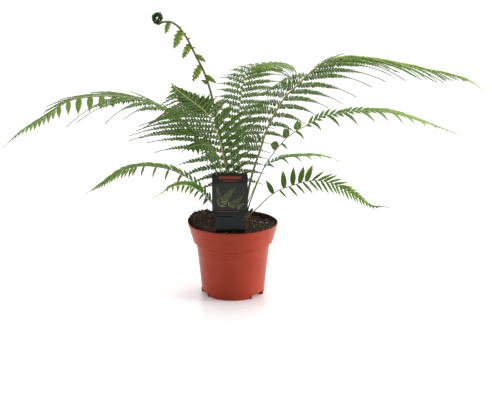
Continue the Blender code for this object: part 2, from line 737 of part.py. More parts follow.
def spill(name, azimuth, radius, size, group, dice):
    """A flattened clod that lies on the rim and runs into the soil."""
    shell = bmesh.new()
    bmesh.ops.create_icosphere(shell, subdivisions=1, radius=1)
    for vertex in shell.verts:
        vertex.co *= dice.uniform(*SPILL_SPREAD)
        vertex.co.z = max(0.0, vertex.co.z)
    place = Matrix.Rotation(math.radians(azimuth), 4, "Z")
    place @= Matrix.Translation((radius * MM, 0, (POT_HEIGHT + GAP) * MM))
    place @= Matrix.Diagonal((size[0] * MM, size[1] * MM, size[2] * MM, 1))
    shell.transform(place)
    mesh = bpy.data.meshes.new(name)
    shell.to_mesh(mesh)
    shell.free()
    group.objects.link(bpy.data.objects.new(name, mesh))


def build_crown(group, stems):
    dome = [(share * CROWN_RADIUS, CROWN_TOP - depth) for share, depth in CROWN_DOME]
    profile = [(0, CROWN_TOP), *dome, (CROWN_RADIUS, CROWN_FOOT), (0, CROWN_FOOT)]
    crown = turned("crown", profile, CROWN_SIDES, group, CROWN_CENTRE)
    seats = collection("stem_seats")
    for name, line, radius in stems:
        seat_cutter(name, line, radius, seats)
    apply_boolean(crown, "DIFFERENCE", seats)
    return crown


def label_shape(name, clearance, group):
    """The card with its round top corners and its narrower stake, grown all round by a clearance."""
    half_card, half_stake = CARD_WIDTH / 2 + clearance, STAKE_WIDTH / 2 + clearance
    top = LABEL_TOP + clearance
    right = [
        (half_stake, STAKE_SHOULDER - clearance),
        (half_stake, CARD_FOOT),
        (half_card, CARD_FOOT + CARD_SHOULDER),
    ]
    for angle in np.radians(CORNER_ANGLES):
        right.append((
            half_card - CARD_CORNER + CARD_CORNER * math.cos(angle),
            top - CARD_CORNER + CARD_CORNER * math.sin(angle),
        ))
    left = [(-x, z) for x, z in reversed(right)]
    outline = [(0, STAKE_TIP - clearance), *right, *left]
    curve = bpy.data.curves.new(name, "CURVE")
    curve.dimensions = "2D"
    curve.fill_mode = "BOTH"
    curve.extrude = (LABEL_THICKNESS / 2 + clearance) * MM
    spline = curve.splines.new("POLY")
    spline.points.add(len(outline) - 1)
    spline.use_cyclic_u = True
    for point, (x, z) in zip(spline.points, outline):
        point.co = (x * MM, z * MM, 0, 1)
    upright = Matrix.Translation((LABEL_CENTRE[0] * MM, LABEL_CENTRE[1] * MM, 0))
    upright @= Matrix.Rotation(math.pi / 2, 4, "X")
    return meshed(name, curve, group, upright)


def finish(obj, finish_material):
    """Gives a piece its material, and shades its round faces smooth."""
    obj.data.materials.clear()
    obj.data.materials.append(finish_material)
    obj.data.shade_smooth()
    obj.data.set_sharp_from_angle(angle=math.radians(SMOOTH_ANGLE))


def main():
    for obj in list(bpy.data.objects):
        bpy.data.objects.remove(obj)
    group = collection("potted_tree_fern")
    leaf = material("leaf", LEAF_GREEN, LEAF_ROUGHNESS)
    stems = []
    for frond in FRONDS:
        finish(build_frond(frond, group), leaf)
        stems.append((frond.name, stem_line(frond), frond.stem))
    finish(build_crozier(group), leaf)
    stems.append(("frond_crozier", crozier_straight(), CROZIER_SEAT_RADIUS))
    finish(build_crown(group, stems), material("scales", SCALE_BROWN, SCALE_ROUGHNESS))
    finish(build_pot(group), material("plastic", POT_ORANGE, POT_ROUGHNESS))
    finish(build_soil(group), material("soil", SOIL_BROWN, SOIL_ROUGHNESS))
    finish(label_shape("label", 0, group), material("card", CARD_BLACK, CARD_ROUGHNESS))


main()
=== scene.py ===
# Looks of a potted tasmanian tree fern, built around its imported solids.
# Lengths in the tables below are in millimetres and angles in degrees. Lengths become metres where
# a mesh is made. Colours are linear. +Z is up and -Y is the side with the label.

import json
import math
import random
from collections import namedtuple

import bmesh
import bpy
import numpy as np
from mathutils import Matrix, Vector, noise

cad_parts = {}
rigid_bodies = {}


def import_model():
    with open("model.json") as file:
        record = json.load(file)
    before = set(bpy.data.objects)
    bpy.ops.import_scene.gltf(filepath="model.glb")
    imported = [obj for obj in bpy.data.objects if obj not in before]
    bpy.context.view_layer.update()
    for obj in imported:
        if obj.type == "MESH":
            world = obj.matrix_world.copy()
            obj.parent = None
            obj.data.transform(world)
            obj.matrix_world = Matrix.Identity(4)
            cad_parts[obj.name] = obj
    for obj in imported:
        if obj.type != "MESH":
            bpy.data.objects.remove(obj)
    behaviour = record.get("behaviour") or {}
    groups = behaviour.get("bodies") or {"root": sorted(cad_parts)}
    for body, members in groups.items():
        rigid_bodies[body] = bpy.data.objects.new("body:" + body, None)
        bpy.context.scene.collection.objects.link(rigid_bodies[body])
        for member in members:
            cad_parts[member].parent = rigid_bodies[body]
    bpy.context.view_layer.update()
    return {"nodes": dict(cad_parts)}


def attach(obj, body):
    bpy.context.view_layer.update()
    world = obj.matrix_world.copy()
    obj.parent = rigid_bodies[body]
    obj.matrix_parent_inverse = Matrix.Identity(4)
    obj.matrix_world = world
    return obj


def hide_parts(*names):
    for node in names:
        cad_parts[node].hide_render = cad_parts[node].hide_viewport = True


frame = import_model()

MM = 0.001
UP = np.array((0.0, 0.0, 1.0))
FRONT = np.array((0.0, -1.0, 0.0))

# Camera: its place in metres, and its lens
CAMERA_PLACE = (0.0188, -1.4, 0.504)
CAMERA_PITCH = 14.8
CAMERA_LENS = 73.7
CAMERA_SENSOR = 36.0

# Lamps: name, place and aim in metres, size and power
LAMPS = (
    ("key", (2.0, -0.1, 0.9), (0, 0, 0.12), 1.0, 40),
    ("fill", (-2.0, 0.2, 0.9), (0, 0, 0.12), 1.0, 9),
    ("top", (0.0, 0.4, 2.6), (0, 0.1, 0.0), 2.2, 30),
)
# The world's light: its least and its most, and how far towards +Y it comes from at each
GLOW = (0.12, 1.4, -0.9, 0.5)

# One row of pinnae. side: 1 for the frond's first side and -1 for the other. reach: its longest
# pinna, and first the length of its first one against that. start and end: the shares of the leafy
# part between which the row stands, and peak where its pinnae are longest. fall: how long they stay
# near that before they shorten towards the tip. sweep: how far they lean towards the tip, at the
# start and the end of the row. rise: how far they lift out of the frond's plane there. droop: how
# far they sag there, as a share of their length. breadth: a pinna's full width. body: the share of
# the longest pinna that carries leaflets, before its bare tail. every: 2 keeps every other pinna
# only, and 3 every third.
Row = namedtuple("Row", "side reach first start peak end fall sweep rise droop breadth body every")

# path: the stem's centre line from its seat in the crown to the tip. sides: the direction of the
# first row of pinnae at the seat, halfway and at the tip. bare: the share of the stem that has no
# pinnae. pairs: pairs of pinnae. spacing: below 1, they stand closer together towards the tip.
# stem: the stem's radius at its seat. entire: a pinna shorter than this is one lobed blade, and a
# longer one is cut into separate leaflets. base and tip: the stem's colours at its seat and at its
# tip. light: how pale the leaflets are. sun: how yellow the outer ones are.
Frond = namedtuple("Frond", "name path sides bare pairs spacing stem entire base tip light sun rows")

OLIVE = (0.055, 0.052, 0.016)
STEM_GREEN = (0.12, 0.2, 0.045)
PALE_STEM = (0.3, 0.36, 0.13)
YELLOW_STEM = (0.42, 0.44, 0.16)

FRONT_PATH = (
    (8, -8, 101), (7, -12, 119), (-4, -24, 165), (-10, -37, 197), (-14, -48, 220), (-19, -62, 244),
    (-24, -72, 257), (-31, -88, 275), (-37, -102, 286), (-46, -122, 297), (-62, -152, 315),
    (-74, -176, 331),
)

FRONDS = (
    Frond(
        "frond_left_long",
        ((-1, 7, 101), (-6, 11, 117), (-20, 22, 164), (-46, 32, 213), (-75, 34, 246), (-98, 32, 264),
         (-118, 28, 274), (-146, 24, 281), (-174, 18, 285), (-201, 10, 285), (-226, 4, 281),
         (-249, 0, 270), (-268, -2, 258), (-299, -4, 238), (-325, -6, 214)),
        ((0, 1, 0.1), (0, 1, 0.1), (0, 1, -0.1)),
        0.28, 36, 0.76, 1.7, 27, STEM_GREEN, PALE_STEM, 0.74, 0.2,
        (Row(1, 52, 0.8, 0, 0.12, 0.2, 1, (52, 58), (4, 6), (0.12, 0.12), 14, 1, 1),
         Row(1, 70, 0.85, 0.2, 0.3, 1, 1.6, (60, 70), (6, -2), (0.1, 0.2), 12, 0.95, 1),
         Row(-1, 100, 0.4, 0, 0.34, 0.42, 1.4, (44, 60), (10, 4), (0.36, 0.32), 12, 0.7, 2),
         Row(-1, 22, 0.6, 0.42, 0.56, 0.72, 1.4, (12, 26), (38, 42), (0.3, 0.3), 10, 1, 2),
         Row(-1, 15, 1, 0.72, 0.73, 1, 1.8, (30, 58), (40, 20), (0.3, 0.4), 8, 1, 1)),
    ),
    Frond(
        "frond_left_low",
        ((-4, 1, 101), (-10, 0, 116), (-31, -8, 138), (-42, -14, 155), (-58, -20, 171), (-76, -26, 183),
         (-94, -32, 191), (-124, -40, 196), (-155, -44, 190), (-181, -44, 173), (-204, -42, 157)),
        ((0.1, 1, 0.3), (0, 1, 0.1), (0, 1, 0)),
        0.17, 34, 0.72, 1.25, 40, PALE_STEM, STEM_GREEN, 0.56, 0.12,
        (Row(1, 17, 0.8, 0, 0.3, 1, 3, (36, 52), (-18, -12), (0.1, 0.2), 5.2, 1, 1),
         Row(-1, 17, 0.7, 0, 0.4, 0.62, 1.4, (10, 36), (30, 30), (0.5, 0.5), 4, 1, 3),
         Row(-1, 15, 1, 0.62, 0.62, 1, 2.4, (36, 60), (24, 14), (0.35, 0.4), 5, 1, 1)),
    ),
    Frond(
        "frond_left_small",
        ((-3, -5, 101), (-8, -9, 114), (-29, -20, 137), (-41, -32, 154), (-51, -42, 164), (-60, -51, 171),
         (-70, -59, 174), (-84, -70, 173), (-95, -76, 167), (-108, -80, 160)),
        ((0.4, 0.9, 0.3), (0.5, 0.85, 0.2), (0.5, 0.85, 0.2)),
        0.32, 22, 0.85, 1.0, 40, PALE_STEM, PALE_STEM, 0.6, 0.25,
        (Row(1, 13, 0.8, 0, 0.3, 1, 2, (36, 56), (-14, -8), (0.15, 0.25), 4.8, 1, 1),
         Row(-1, 12, 0.7, 0, 0.3, 1, 1.6, (15, 55), (30, 10), (0.5, 0.5), 4.2, 1, 2)),
    ),
    Frond(
        "frond_front",
        FRONT_PATH,
        ((-1, 0, 0), (-1, 0.1, 0), (-0.9, 0.1, -0.3)),
        0.17, 22, 0.86, 1.9, 30, STEM_GREEN, YELLOW_STEM, 0.2, 0.05,
        (Row(1, 74, 0.34, 0, 0.27, 0.27, 1, (-4, 12), (8, 8), (0.2, 0.2), 13, 0.95, 1),
         Row(1, 126, 0.74, 0.27, 0.44, 1, 0.92, (24, 50), (8, 8), (0.2, 0.26), 15.5, 0.88, 1),
         Row(-1, 88, 0.4, 0, 0.4, 1, 1.05, (32, 60), (4, 4), (0.06, 0.12), 16, 0.95, 1)),
    ),
    Frond(
        "frond_front_short",
        ((2, -8, 101), (0, -14, 118), (-8, -34, 167), (-17, -58, 205), (-26, -80, 228), (-37, -98, 238),
         (-48, -110, 239), (-57, -118, 238), (-65, -124, 233)),
        ((-0.6, 0.7, 0.1), (-0.4, 0.8, 0.3), (0.4, 0.9, 0.2)),
        0.4, 16, 0.92, 1.3, 18, STEM_GREEN, STEM_GREEN, 0.06, 0,
        (Row(1, 28, 0.6, 0.2, 0.35, 1, 1.6, (20, 50), (0, 0), (0.3, 0.4), 13, 0.95, 1),
         Row(-1, 32, 0.6, 0.36, 0.45, 1, 1.6, (10, 40), (0, -8), (0.4, 0.5), 13, 0.95, 1)),
    ),
    Frond(
        "frond_right_long",
        ((14, 3, 101), (17, 2, 117), (25, -8, 167), (38, -18, 212), (49, -23, 247), (70, -24, 286),
         (89, -22, 305), (107, -20, 323), (127, -18, 337), (148, -16, 343), (168, -14, 344),
         (203, -10, 340), (239, -6, 333), (267, -2, 326), (303, 2, 318), (332, 6, 308), (353, 8, 293)),
        ((-0.95, 0.25, 0.2), (-0.6, 0.75, 0.25), (0, 1, 0)),
        0.2, 32, 0.92, 2.0, 20, OLIVE, YELLOW_STEM, 0.76, 1,
        (Row(1, 76, 0.6, 0, 0.2, 0.37, 2.2, (-18, -28), (4, -16), (0.14, 0.2), 13, 0.92, 1),
         Row(1, 64, 0.6, 0.37, 0.5, 1, 1.8, (64, 70), (-24, -2), (0.1, 0.16), 12.5, 0.9, 1),
         Row(-1, 112, 0.24, 0.09, 0.36, 0.48, 1.35, (26, 58), (0, 2), (0.32, 0.24), 12, 0.74, 1),
         Row(-1, 98, 1, 0.48, 0.48, 1, 1.15, (60, 70), (2, 4), (0.22, 0.14), 11.5, 0.86, 1)),
    ),
    Frond(
        "frond_right_mid",
        ((16, -3, 101), (20, -5, 117), (25, -14, 139), (42, -34, 189), (56, -45, 215), (66, -51, 229),
         (75, -57, 240), (86, -61, 249), (99, -63, 257), (112, -66, 265), (125, -69, 272), (144, -72, 275),
         (164, -75, 279), (190, -78, 280), (210, -80, 279), (236, -80, 272), (263, -80, 263),
         (284, -80, 255), (303, -80, 248)),
        ((-0.6, 0.4, 0.7), (-0.1, 0.8, 0.3), (0, 1, 0)),
        0.34, 36, 0.85, 1.15, 60, OLIVE, PALE_STEM, 0.8, 0.3,
        (Row(1, 20, 1, 0, 0.02, 0.2, 3, (-45, 14), (0, 0), (0, 0), 16, 1, 2),
         Row(1, 15, 1, 0.2, 0.22, 1, 4, (38, 60), (6, 10), (0, 0.15), 4.8, 1, 1),
         Row(-1, 30, 0.5, 0, 0.42, 1, 1.6, (34, 56), (0, 0), (0.42, 0.45), 5, 1, 3),
         Row(-1, 11, 1, 0.2, 0.3, 1, 4, (50, 64), (0, 0), (0.2, 0.2), 4, 1, 1)),
    ),
    Frond(
        "frond_right_small",
        ((12, 9, 101), (16, 12, 116), (30, 17, 149), (42, 21, 174), (51, 24, 185), (61, 27, 190),
         (74, 30, 194), (96, 36, 195), (120, 40, 195), (140, 44, 191), (152, 46, 186), (165, 48, 181)),
        ((-0.3, 1, 0.2), (-0.3, 1, 0.1), (-0.2, 1, 0)),
        0.4, 28, 0.85, 1.0, 40, STEM_GREEN, PALE_STEM, 0.62, 0.2,
        (Row(1, 11, 0.8, 0, 0.3, 1, 2, (40, 60), (12, 8), (0.1, 0.2), 3.9, 1, 1),
         Row(-1, 21, 0.9, 0, 0.2, 1, 1.6, (24, 50), (5, 0), (0.45, 0.4), 3.8, 1, 4),
         Row(-1, 9, 1, 0, 0.3, 1, 2, (46, 60), (5, 0), (0.2, 0.2), 3.4, 1, 1)),
    ),
    Frond(
        "frond_right_low",
        ((14, -9, 101), (20, -13, 114), (34, -18, 129), (47, -24, 144), (58, -30, 155), (68, -36, 162),
         (79, -40, 167), (89, -46, 172), (99, -50, 176), (110, -54, 179), (123, -58, 179), (136, -62, 177),
         (150, -66, 171), (161, -70, 166), (174, -74, 158), (185, -76, 151), (193, -78, 148),
         (205, -80, 149), (214, -82, 147)),
        ((-0.5, 0.45, 0.75), (-0.1, 0.5, 0.85), (0, 0.8, 0.6)),
        0.24, 24, 0.6, 1.0, 60, STEM_GREEN, STEM_GREEN, 0.78, 0.3,
        (Row(1, 26, 0.75, 0, 0.15, 0.4, 3, (-22, 34), (0, 0), (0, 0.05), 9, 1, 1),
         Row(1, 24, 1, 0.4, 0.4, 1, 1.5, (52, 66), (0, 0), (0, 0.1), 4.4, 1, 1),
         Row(-1, 23, 0.6, 0, 0.3, 1, 1.6, (24, 62), (0, 0), (0.16, 0.2), 4, 1, 1)),
    ),
    Frond(
        "frond_back",
        ((5, 10, 101), (6, 16, 116), (7, 34, 170), (8, 56, 229), (9, 70, 256), (11, 78, 269), (13, 88, 283),
         (16, 98, 296), (20, 110, 307), (29, 122, 313), (44, 132, 316), (70, 140, 317), (86, 142, 313),
         (94, 143, 304), (99, 143, 292)),
        ((-1, 0, 0), (-1, 0.1, 0), (0, 1, 0.1)),
        0.16, 28, 0.92, 1.7, 16, STEM_GREEN, PALE_STEM, 0.68, 0.2,
        (Row(1, 45, 0.6, 0, 0.5, 1, 1.5, (0, 30), (6, 0), (0.2, 0.2), 10.5, 0.85, 1),
         Row(-1, 68, 0.55, 0, 0.6, 1, 1.6, (-6, 28), (6, 0), (0.16, 0.26), 10.5, 0.8, 1)),
    ),
    Frond(
        "frond_front_young_tip",
        FRONT_PATH[-5:],
        ((-1, 0.1, -0.2), (-0.9, 0.1, -0.3), (-0.9, 0.1, -0.3)),
        0.02, 19, 0.95, 0.9, 60, YELLOW_STEM, YELLOW_STEM, 0.14, 0,
        (Row(1, 40, 0.9, 0, 0.12, 1, 1.1, (56, 70), (0, 0), (0, 0.05), 15, 1, 1),
         Row(-1, 42, 0.9, 0, 0.12, 1, 1.1, (52, 68), (0, 0), (0, 0.05), 15, 1, 1)),
    ),
)

# Crozier: the young frond whose tip is still coiled
CROZIER_STEM = (
    (7, 2, 101), (5, 3, 118), (-6, 7, 179), (-20, 10, 237), (-29, 12, 283), (-35, 12, 305), (-41, 12, 322),
    (-48, 12, 336), (-55, 12, 350), (-62, 12, 364), (-69, 12, 375), (-77, 12, 384), (-86, 12, 389),
    (-93, 12, 389),
)
COIL_CENTRE = (-103.0, 12.0, 394.5)
COIL_START_ANGLE = -50.0
COIL_TURNS = 2.1
COIL_SAMPLES = 56
COIL_OUTER_RADIUS = 8.2
COIL_INNER_RADIUS = 1.6
CROZIER_SEAT_RADIUS = 1.9
CROZIER_NECK_RADIUS = 1.5
CROZIER_TIP_RADIUS = 1.1
CROZIER_OLIVE = (0.1, 0.13, 0.035)
COIL_GREEN = (0.13, 0.16, 0.045)
# Each young pinna: where on the stem, as a share of its length, its length, and where its tip hangs
YOUNG_PINNAE = (
    (0.655, 12, (-0.8, -0.3, 0.5)),
    (0.69, 18, (0.75, -0.4, -0.35)),
    (0.74, 23, (-0.5, -0.25, -0.83)),
    (0.79, 17, (0.72, -0.4, -0.3)),
    (0.825, 6, (0.7, -0.3, 0.3)),
    (0.845, 21, (-0.5, -0.25, -0.83)),
    (0.87, 6, (0.7, -0.3, 0.3)),
    (0.895, 5, (0.7, -0.3, 0.5)),
    (0.915, 25, (-0.42, -0.25, -0.86)),
    (0.93, 5, (0.7, -0.3, 0.5)),
    (0.983, 16, (-0.32, -0.25, -0.9)),
)
# Their width against their length, the width of the blade under the leaflets against that, and the
# width from which they have leaflets
YOUNG_BREADTH = 0.62
YOUNG_BLADE_SHARE = 0.7
YOUNG_LEAST_CUT = 6.0
YOUNG_DROOP = 0.1
YOUNG_TONE = 1.0
YOUNG_SUN = 0.55
YOUNG_FACE = (0.2, 1.0, 0.1)
YOUNG_SHAPES = 3
# Small furled pinnae that cover the coil: how many, their sizes, how far they lie off its line, and
# their colour and the range of its brightness
FURLED = 230
FURLED_SIZES = (1.6, 3.6)
FURLED_SPREAD = (0.6, 1.4, 0.6)
FURLED_SQUASH = 0.7
FURLED_GREEN = np.array((0.026, 0.052, 0.009))
FURLED_SHADES = (0.5, 1.7)

# Where the pinnae sit along a stem, and how much one differs from the next
STEM_TAPER = 0.72
LEAST_STEM = 0.6
LAST_PINNA = 0.985
PAIR_OFFSET = 0.25
SWEEP_POWER = 0.75
FACE_TURN = 0.6
LEAST_LENGTH_SHARE = 0.05
ANGLE_SPREAD = 3.0
LENGTH_SPREAD = (0.93, 1.05)
DROOP_SPREAD = (0.85, 1.15)
PACKING = 0.92
PACKING_EXTRA = 3.0
LEAST_BREADTH = 2.0
SHORT_BREADTH_SHARE = 0.55
BREADTH_LIMIT = 0.66
SAG_POWER = 2.3
# Lengths, against the row's longest, between which a pinna's bare tail grows to its full share
BARE_TAIL_LENGTHS = (0.35, 0.9)
# How pale the leaflets are at the foot of the leafy part, and how much more towards the tip
LIGHT_AT_FOOT = 0.35
LIGHT_GAIN = 1.2
# How sunlit they are at some shares of the leafy part, and how much that varies
SUN_PLACES = (0.38, 0.62, 0.85, 1)
SUN_SHARES = (0, 0.7, 1, 0.6)
SUN_SPREAD = (0.5, 1.0)

# Leaflets, the small blades that a long pinna is cut into
LEAFLET_PITCH = 4.2
# That pitch is for a pinna of this width, and falls towards this share of it on a narrow one
FULL_BREADTH = 12.0
NARROW_PITCH = 0.6
# Each row's side of the rib, and how far along the pitch its leaflets sit
LEAFLET_ROWS = ((1, 0.25), (-1, 0.5))
LEAFLET_SHAPES = 4
LEAFLET_LOBES = 3
# Width against the leaflet's own, how far ahead, and how high, at a lobe and at a notch
LEAFLET_LOBE = (1.0, 0.05, 0.05)
LEAFLET_NOTCH = (0.8, 0.0, 0.1)
LEAFLET_HALF_WIDTH = 0.54
WIDTH_SPREAD = (0.94, 1.06)
LEAFLET_KEEL = 0.11
LEAFLET_FILL = 1.03
LEAFLET_WIDTH_LIMIT = 0.95
LEAFLET_LENGTH_SPREAD = 0.06
LEAFLET_ANGLES = (66.0, 34.0)
LEAFLET_ANGLE_SPREAD = 4
LEAFLET_DROOP = (-14.0, 22.0)
LEAFLET_TWIST = 12.0
LEAFLET_CURL = 0.16
LEAST_LEAFLET = 0.55
RIB_RADII = (0.75, 0.62)
RIB_SIDES = 5
RIB_SAMPLES = 14
RIB_SUN = 0.6
RIB_TINT = 0.45

# Lobed blades, which the short pinnae are
LOBE_PITCH = 2.3
LOBE_DEPTH = 0.14
LOBE_SAMPLES = 4
BLADE_FOLD = 0.16
BLADE_SLANT = 0.2
BLADE_THICKNESS = 0.22
BLADE_THINNING = 0.6
BLADE_TIP = 0.12
# Across a blade's upper side: shares of its half width and of its fold. Then how much of the rib's
# green each of them shows, and last the underside.
BLADE_SECTION = ((1.0, 0.25), (0.5, 0.75), (0.0, 0.0), (-0.5, 0.75), (-1.0, 0.25))
BLADE_RIB_TINT = (0.3, 0.0, 0.5, 0.0, 0.3, 0.4)

# Stems: their groove, and how soon they take the colour of their tip
STEM_SIDES = 10
STEM_SAMPLES = 72
STEM_GROOVE = 0.28
GROOVE_SHARPNESS = 8
STEM_PALING = 1.5

# Greens of the leaflets, from dark to pale and sunlit, and of the ribs and their bare tails
DARK_LEAF = (0.024, 0.056, 0.006)
MID_LEAF = (0.088, 0.168, 0.016)
LIGHT_LEAF = (0.29, 0.39, 0.12)
SUNLIT_LEAF = (0.36, 0.5, 0.07)
RIB_GREEN = (0.15, 0.24, 0.06)
TAIL_GREEN = (0.045, 0.07, 0.025)

# Pot
POT_HEIGHT = 105.0
RIM_RADIUS = 65.0
BAND_FOOT_RADIUS = 57.8
BAND_FOOT_HEIGHT = 77.0
STEP_RISE = 1.5
WALL_TOP_RADIUS = 53.2
FOOT_RADIUS = 45.2
WALL = 1.4
POT_FLOOR = 1.6
FLOOR_FILLET = 1.0
POT_SIDES = 160
NOTCH_AZIMUTHS = (-38, 82, 202)
NOTCH_WIDTH = 25.0
NOTCH_HEIGHT = 5.4
NOTCH_DEPTH_RADIUS = 37.0
DRAIN_RADIUS = 2.2
DRAIN_INSET = 2.6
DRAIN_SIDES = 24
SINK = 1.2
OVERSHOOT = 4.0
# The lip at the rim's top stands out this far, down to this depth
LIP_STAND = 0.35
LIP_HEIGHT = 3.0
BAND_EDGE = 0.6
STEP_FILLET = 0.9
FOOT_EDGE = 1.2
FOOT_INSET = 1.1
FOOT_RING = 5.0
# Faint ribs round the wall: their heights, and the height and stand of each point of one
RIB_HEIGHTS = (72.0, 67.5, 62.0)
RIB_SECTION = ((0.9, 0.0), (0.3, 0.16), (-0.3, 0.16), (-0.9, 0.0))
POT_SHARP_ANGLE = 32

# Soil
SOIL_LEVEL = 103.0
SOIL_FOOT = 7.1
SOIL_CLEARANCE = 0.5
SOIL_SIDE_CLEARANCE = 0.8
SIDE_SHADE = 0.4
HEAP_CENTRE, HEAP_SIZE, HEAP_RISE = (-42, 14), (24, 34), 12.0
DIP_CENTRE, DIP_SIZE, DIP_FALL = (38, 40), (26, 34), 5.5
SOIL_RINGS = 70
SOIL_SEGMENTS = 200
# Roughness of the soil: how wide each size of lump is, and how high
SOIL_LUMPS = ((11.0, 1.5), (4.2, 1.1), (1.7, 0.55))
CRUMBS = 2300
CRUMB_SIZES = (0.7, 2.9)
CRUMB_SQUASH = 0.6
# How far the corners of a crumb are pulled in or out
CORNER_SPREAD = (0.72, 1.25)
# Crumbs, chips and fibres keep this far off the rim
RIM_GAP = 1.6
BARK_CHIPS = 150
CHIP_SIZES = (3.0, 7.5)
CHIP_SQUASH = 0.2
FIBRES = 70
FIBRE_LENGTHS = (4, 13)
FIBRE_BEND = 0.8
FIBRE_LIFT = 0.7
FIBRE_RADII = (0.16, 0.34)
FIBRE_SAMPLES = 6
# Crumbs that stick to the pot's inner wall above the soil, and the arc that they cover
WALL_CRUMBS = 620
WALL_CRUMB_ARC = (-60, 110)
WALL_CRUMB_SIZES = (1.0, 3.2)
WALL_CRUMB_MARGIN = 1.5
# Soil that lies on the rim: the middle and spread of its radius. Then each heap's azimuth, half of
# its spread in azimuth, how many crumbs it has, how high it is, and the crumbs' sizes.
RIM_HEAP_RADIUS = 61.5
RIM_HEAP_SPREAD = 2.0
RIM_HEAPS = (
    (138, 12, 110, 5.5, (1.2, 3.6)), (162, 12, 150, 7.0, (1.2, 3.6)), (186, 12, 170, 7.0, (1.2, 3.6)),
    (210, 10, 110, 4.6, (1.2, 3.6)), (-60, 9, 22, 1.6, (0.9, 2.2)), (40, 10, 12, 1.0, (0.9, 2.2)),
)

# Two close oranges of the pot's plastic
POT_DEEP = (0.33, 0.033, 0.0105, 1.0)
POT_BRIGHT = (0.4, 0.043, 0.014, 1.0)
# The pot's inner side, darkened by painted shade and a film of soil, and how much of the plastic's colour
# that takes
WALL_SHADE_AND_SOIL = (0.03, 0.012, 0.007, 1.0)
SHADE_AND_SOIL_SHARE = 0.92

DARK_SOIL = (0.011, 0.0065, 0.0038)
BROWN_SOIL = (0.034, 0.018, 0.01)
BARK_BROWN = np.array((0.08, 0.04, 0.02))
GRAIN_WHITE = np.array((0.62, 0.6, 0.54))
MOSS_GREEN = np.array((0.07, 0.13, 0.02))
FIBRE_TAN = (0.3, 0.2, 0.1)
# White grains and moss: how many, the middle and spread of their x and of their y, their sizes, how
# far they stand out, and their colour and the range of its brightness
GRAINS = (
    (34, (34, 14), (6, 20), (0.9, 2.0), 0.35, GRAIN_WHITE, (0.8, 1.1)),
    (90, (35, 7), (-18, 9), (0.7, 1.6), 0.4, MOSS_GREEN, (0.6, 1.3)),
)

# Crown
CROWN_CENTRE = (6.5, 1.0)
CROWN_RADIUS = 19.0
CROWN_FOOT = 90.0
CROWN_TOP = 117.0
# The dome's outline: radius against the crown's, and depth below its top
CROWN_DOME = ((0.0, 0.0), (0.42, 0.6), (0.7, 3.4), (0.9, 8.0), (1.0, 14.0), (1.0, 27.0))
CROWN_SIDES = 56
CROWN_ROWS = 18
CROWN_LUMP = 1.1
CROWN_HAIRS = 1300
CROWN_HAIR_LENGTHS = (3, 8)
CROWN_HAIR_RADIUS = 0.2
# Hairs at the foot of each stem, and the shares of its length between which they stand
STEM_HAIRS = 26
STEM_HAIR_LENGTHS = (2, 5)
STEM_HAIR_RADIUS = 0.14
HAIRY_STEM = (0.01, 0.09)
HAIR_BROWN = np.array((0.16, 0.085, 0.03))
SCALE_BROWN = (0.06, 0.032, 0.014)
# Stubs of old stems: azimuth on the crown, lean, length and radius
STUBS = ((20, 38, 13, 2.0), (75, 46, 10, 1.7), (140, 40, 14, 2.1), (215, 48, 11, 1.8), (300, 52, 9, 1.6))
# How far down the dome they stand, how deep they are sunk, and how their radius changes upwards
STUB_PLACE = 0.42
STUB_SINK = 2
STUB_TAPER = (1.25, 1.15, 1.05, 1.0, 0.97, 0.9)
STUB_BROWN = BARK_BROWN * 1.6

# Label
LABEL_CENTRE = (-3.5, -51.5)
LABEL_TOP = 189.0
CARD_FOOT = 131.0
CARD_WIDTH = 49.5
CARD_CORNER = 3.5
CARD_SHOULDER = 2.0
CARD_BEVEL = 0.15
STAKE_WIDTH = 41.0
STAKE_SHOULDER = 93.0
STAKE_TIP = 82.0
LABEL_THICKNESS = 0.8
PRINT_STAND = 0.07
PRINT_SINK = 0.05
LABEL_SHARP_ANGLE = 20
LEAF_STEM_WIDTH = 0.9
CARD_BLACK = (0.006, 0.006, 0.006)
STAKE_TEAL = (0.007, 0.012, 0.012)
PICTURE_DARK = (0.022, 0.026, 0.018)
LEAF_PRINT = (0.05, 0.07, 0.025)
LEAF_PRINT_PALE = (0.24, 0.25, 0.1)
TITLE_RED = (0.26, 0.034, 0.018)
FOOT_RED = (0.12, 0.03, 0.02)
# Left, right, low and high of the picture, and of the printed bars in place of words and on the stake
PICTURE_BOUNDS = (-23.55, 23.55, 136.5, 174.5)
PRINTED_BARS = (
    ((-15.5, 15.5, 180.6, 184.2), TITLE_RED),
    ((-10.0, 10.0, 177.2, 178.4), TITLE_RED),
    ((-19.0, 12.0, 133.6, 134.6), FOOT_RED),
    ((-19.0, 4.0, 126.2, 127.2), FOOT_RED),
    ((-20.1, 20.1, 108.0, 129.6), STAKE_TEAL),
)
# A plain picture of leaves: foot, tip, width and pairs of leaflets of each one
PICTURE_LEAVES = (
    ((-18.0, 139.0), (9.0, 171.0), 9.0, 13),
    ((-4.0, 138.5), (20.5, 158.0), 7.0, 11),
    ((-12.0, 143.0), (-18.0, 171.0), 5.5, 11),
    ((8.0, 139.0), (20.0, 146.0), 4.5, 7),
)

# One part of a piece: points in millimetres, triangles, a colour for each point, and the number of
# its material
Part = namedtuple("Part", "points triangles colours material")

# One pinna: the foot of its rib, its direction, its upper side, its length, how far it sags as a share
# of that, its full width, the share of it that carries leaflets, and how pale and how sunlit it is
Pinna = namedtuple("Pinna", "base out face length droop breadth body tone sun")


def unit(vectors):
    """A vector, or each row of an array, made one long."""
    return vectors / np.linalg.norm(vectors, axis=-1, keepdims=True)


def polar(radius, angle):
    return radius * math.cos(angle), radius * math.sin(angle)


def anywhere(size, dice):
    """A random vector in a cube that reaches this far from its middle."""
    return np.array([dice.uniform(-size, size) for _ in range(3)])


def blended(first, second, share):
    """Between two colours, or two rows of numbers, by one share or by a list of them."""
    share = np.asarray(share, float)[..., None]
    return np.asarray(first) * (1 - share) + np.asarray(second) * share


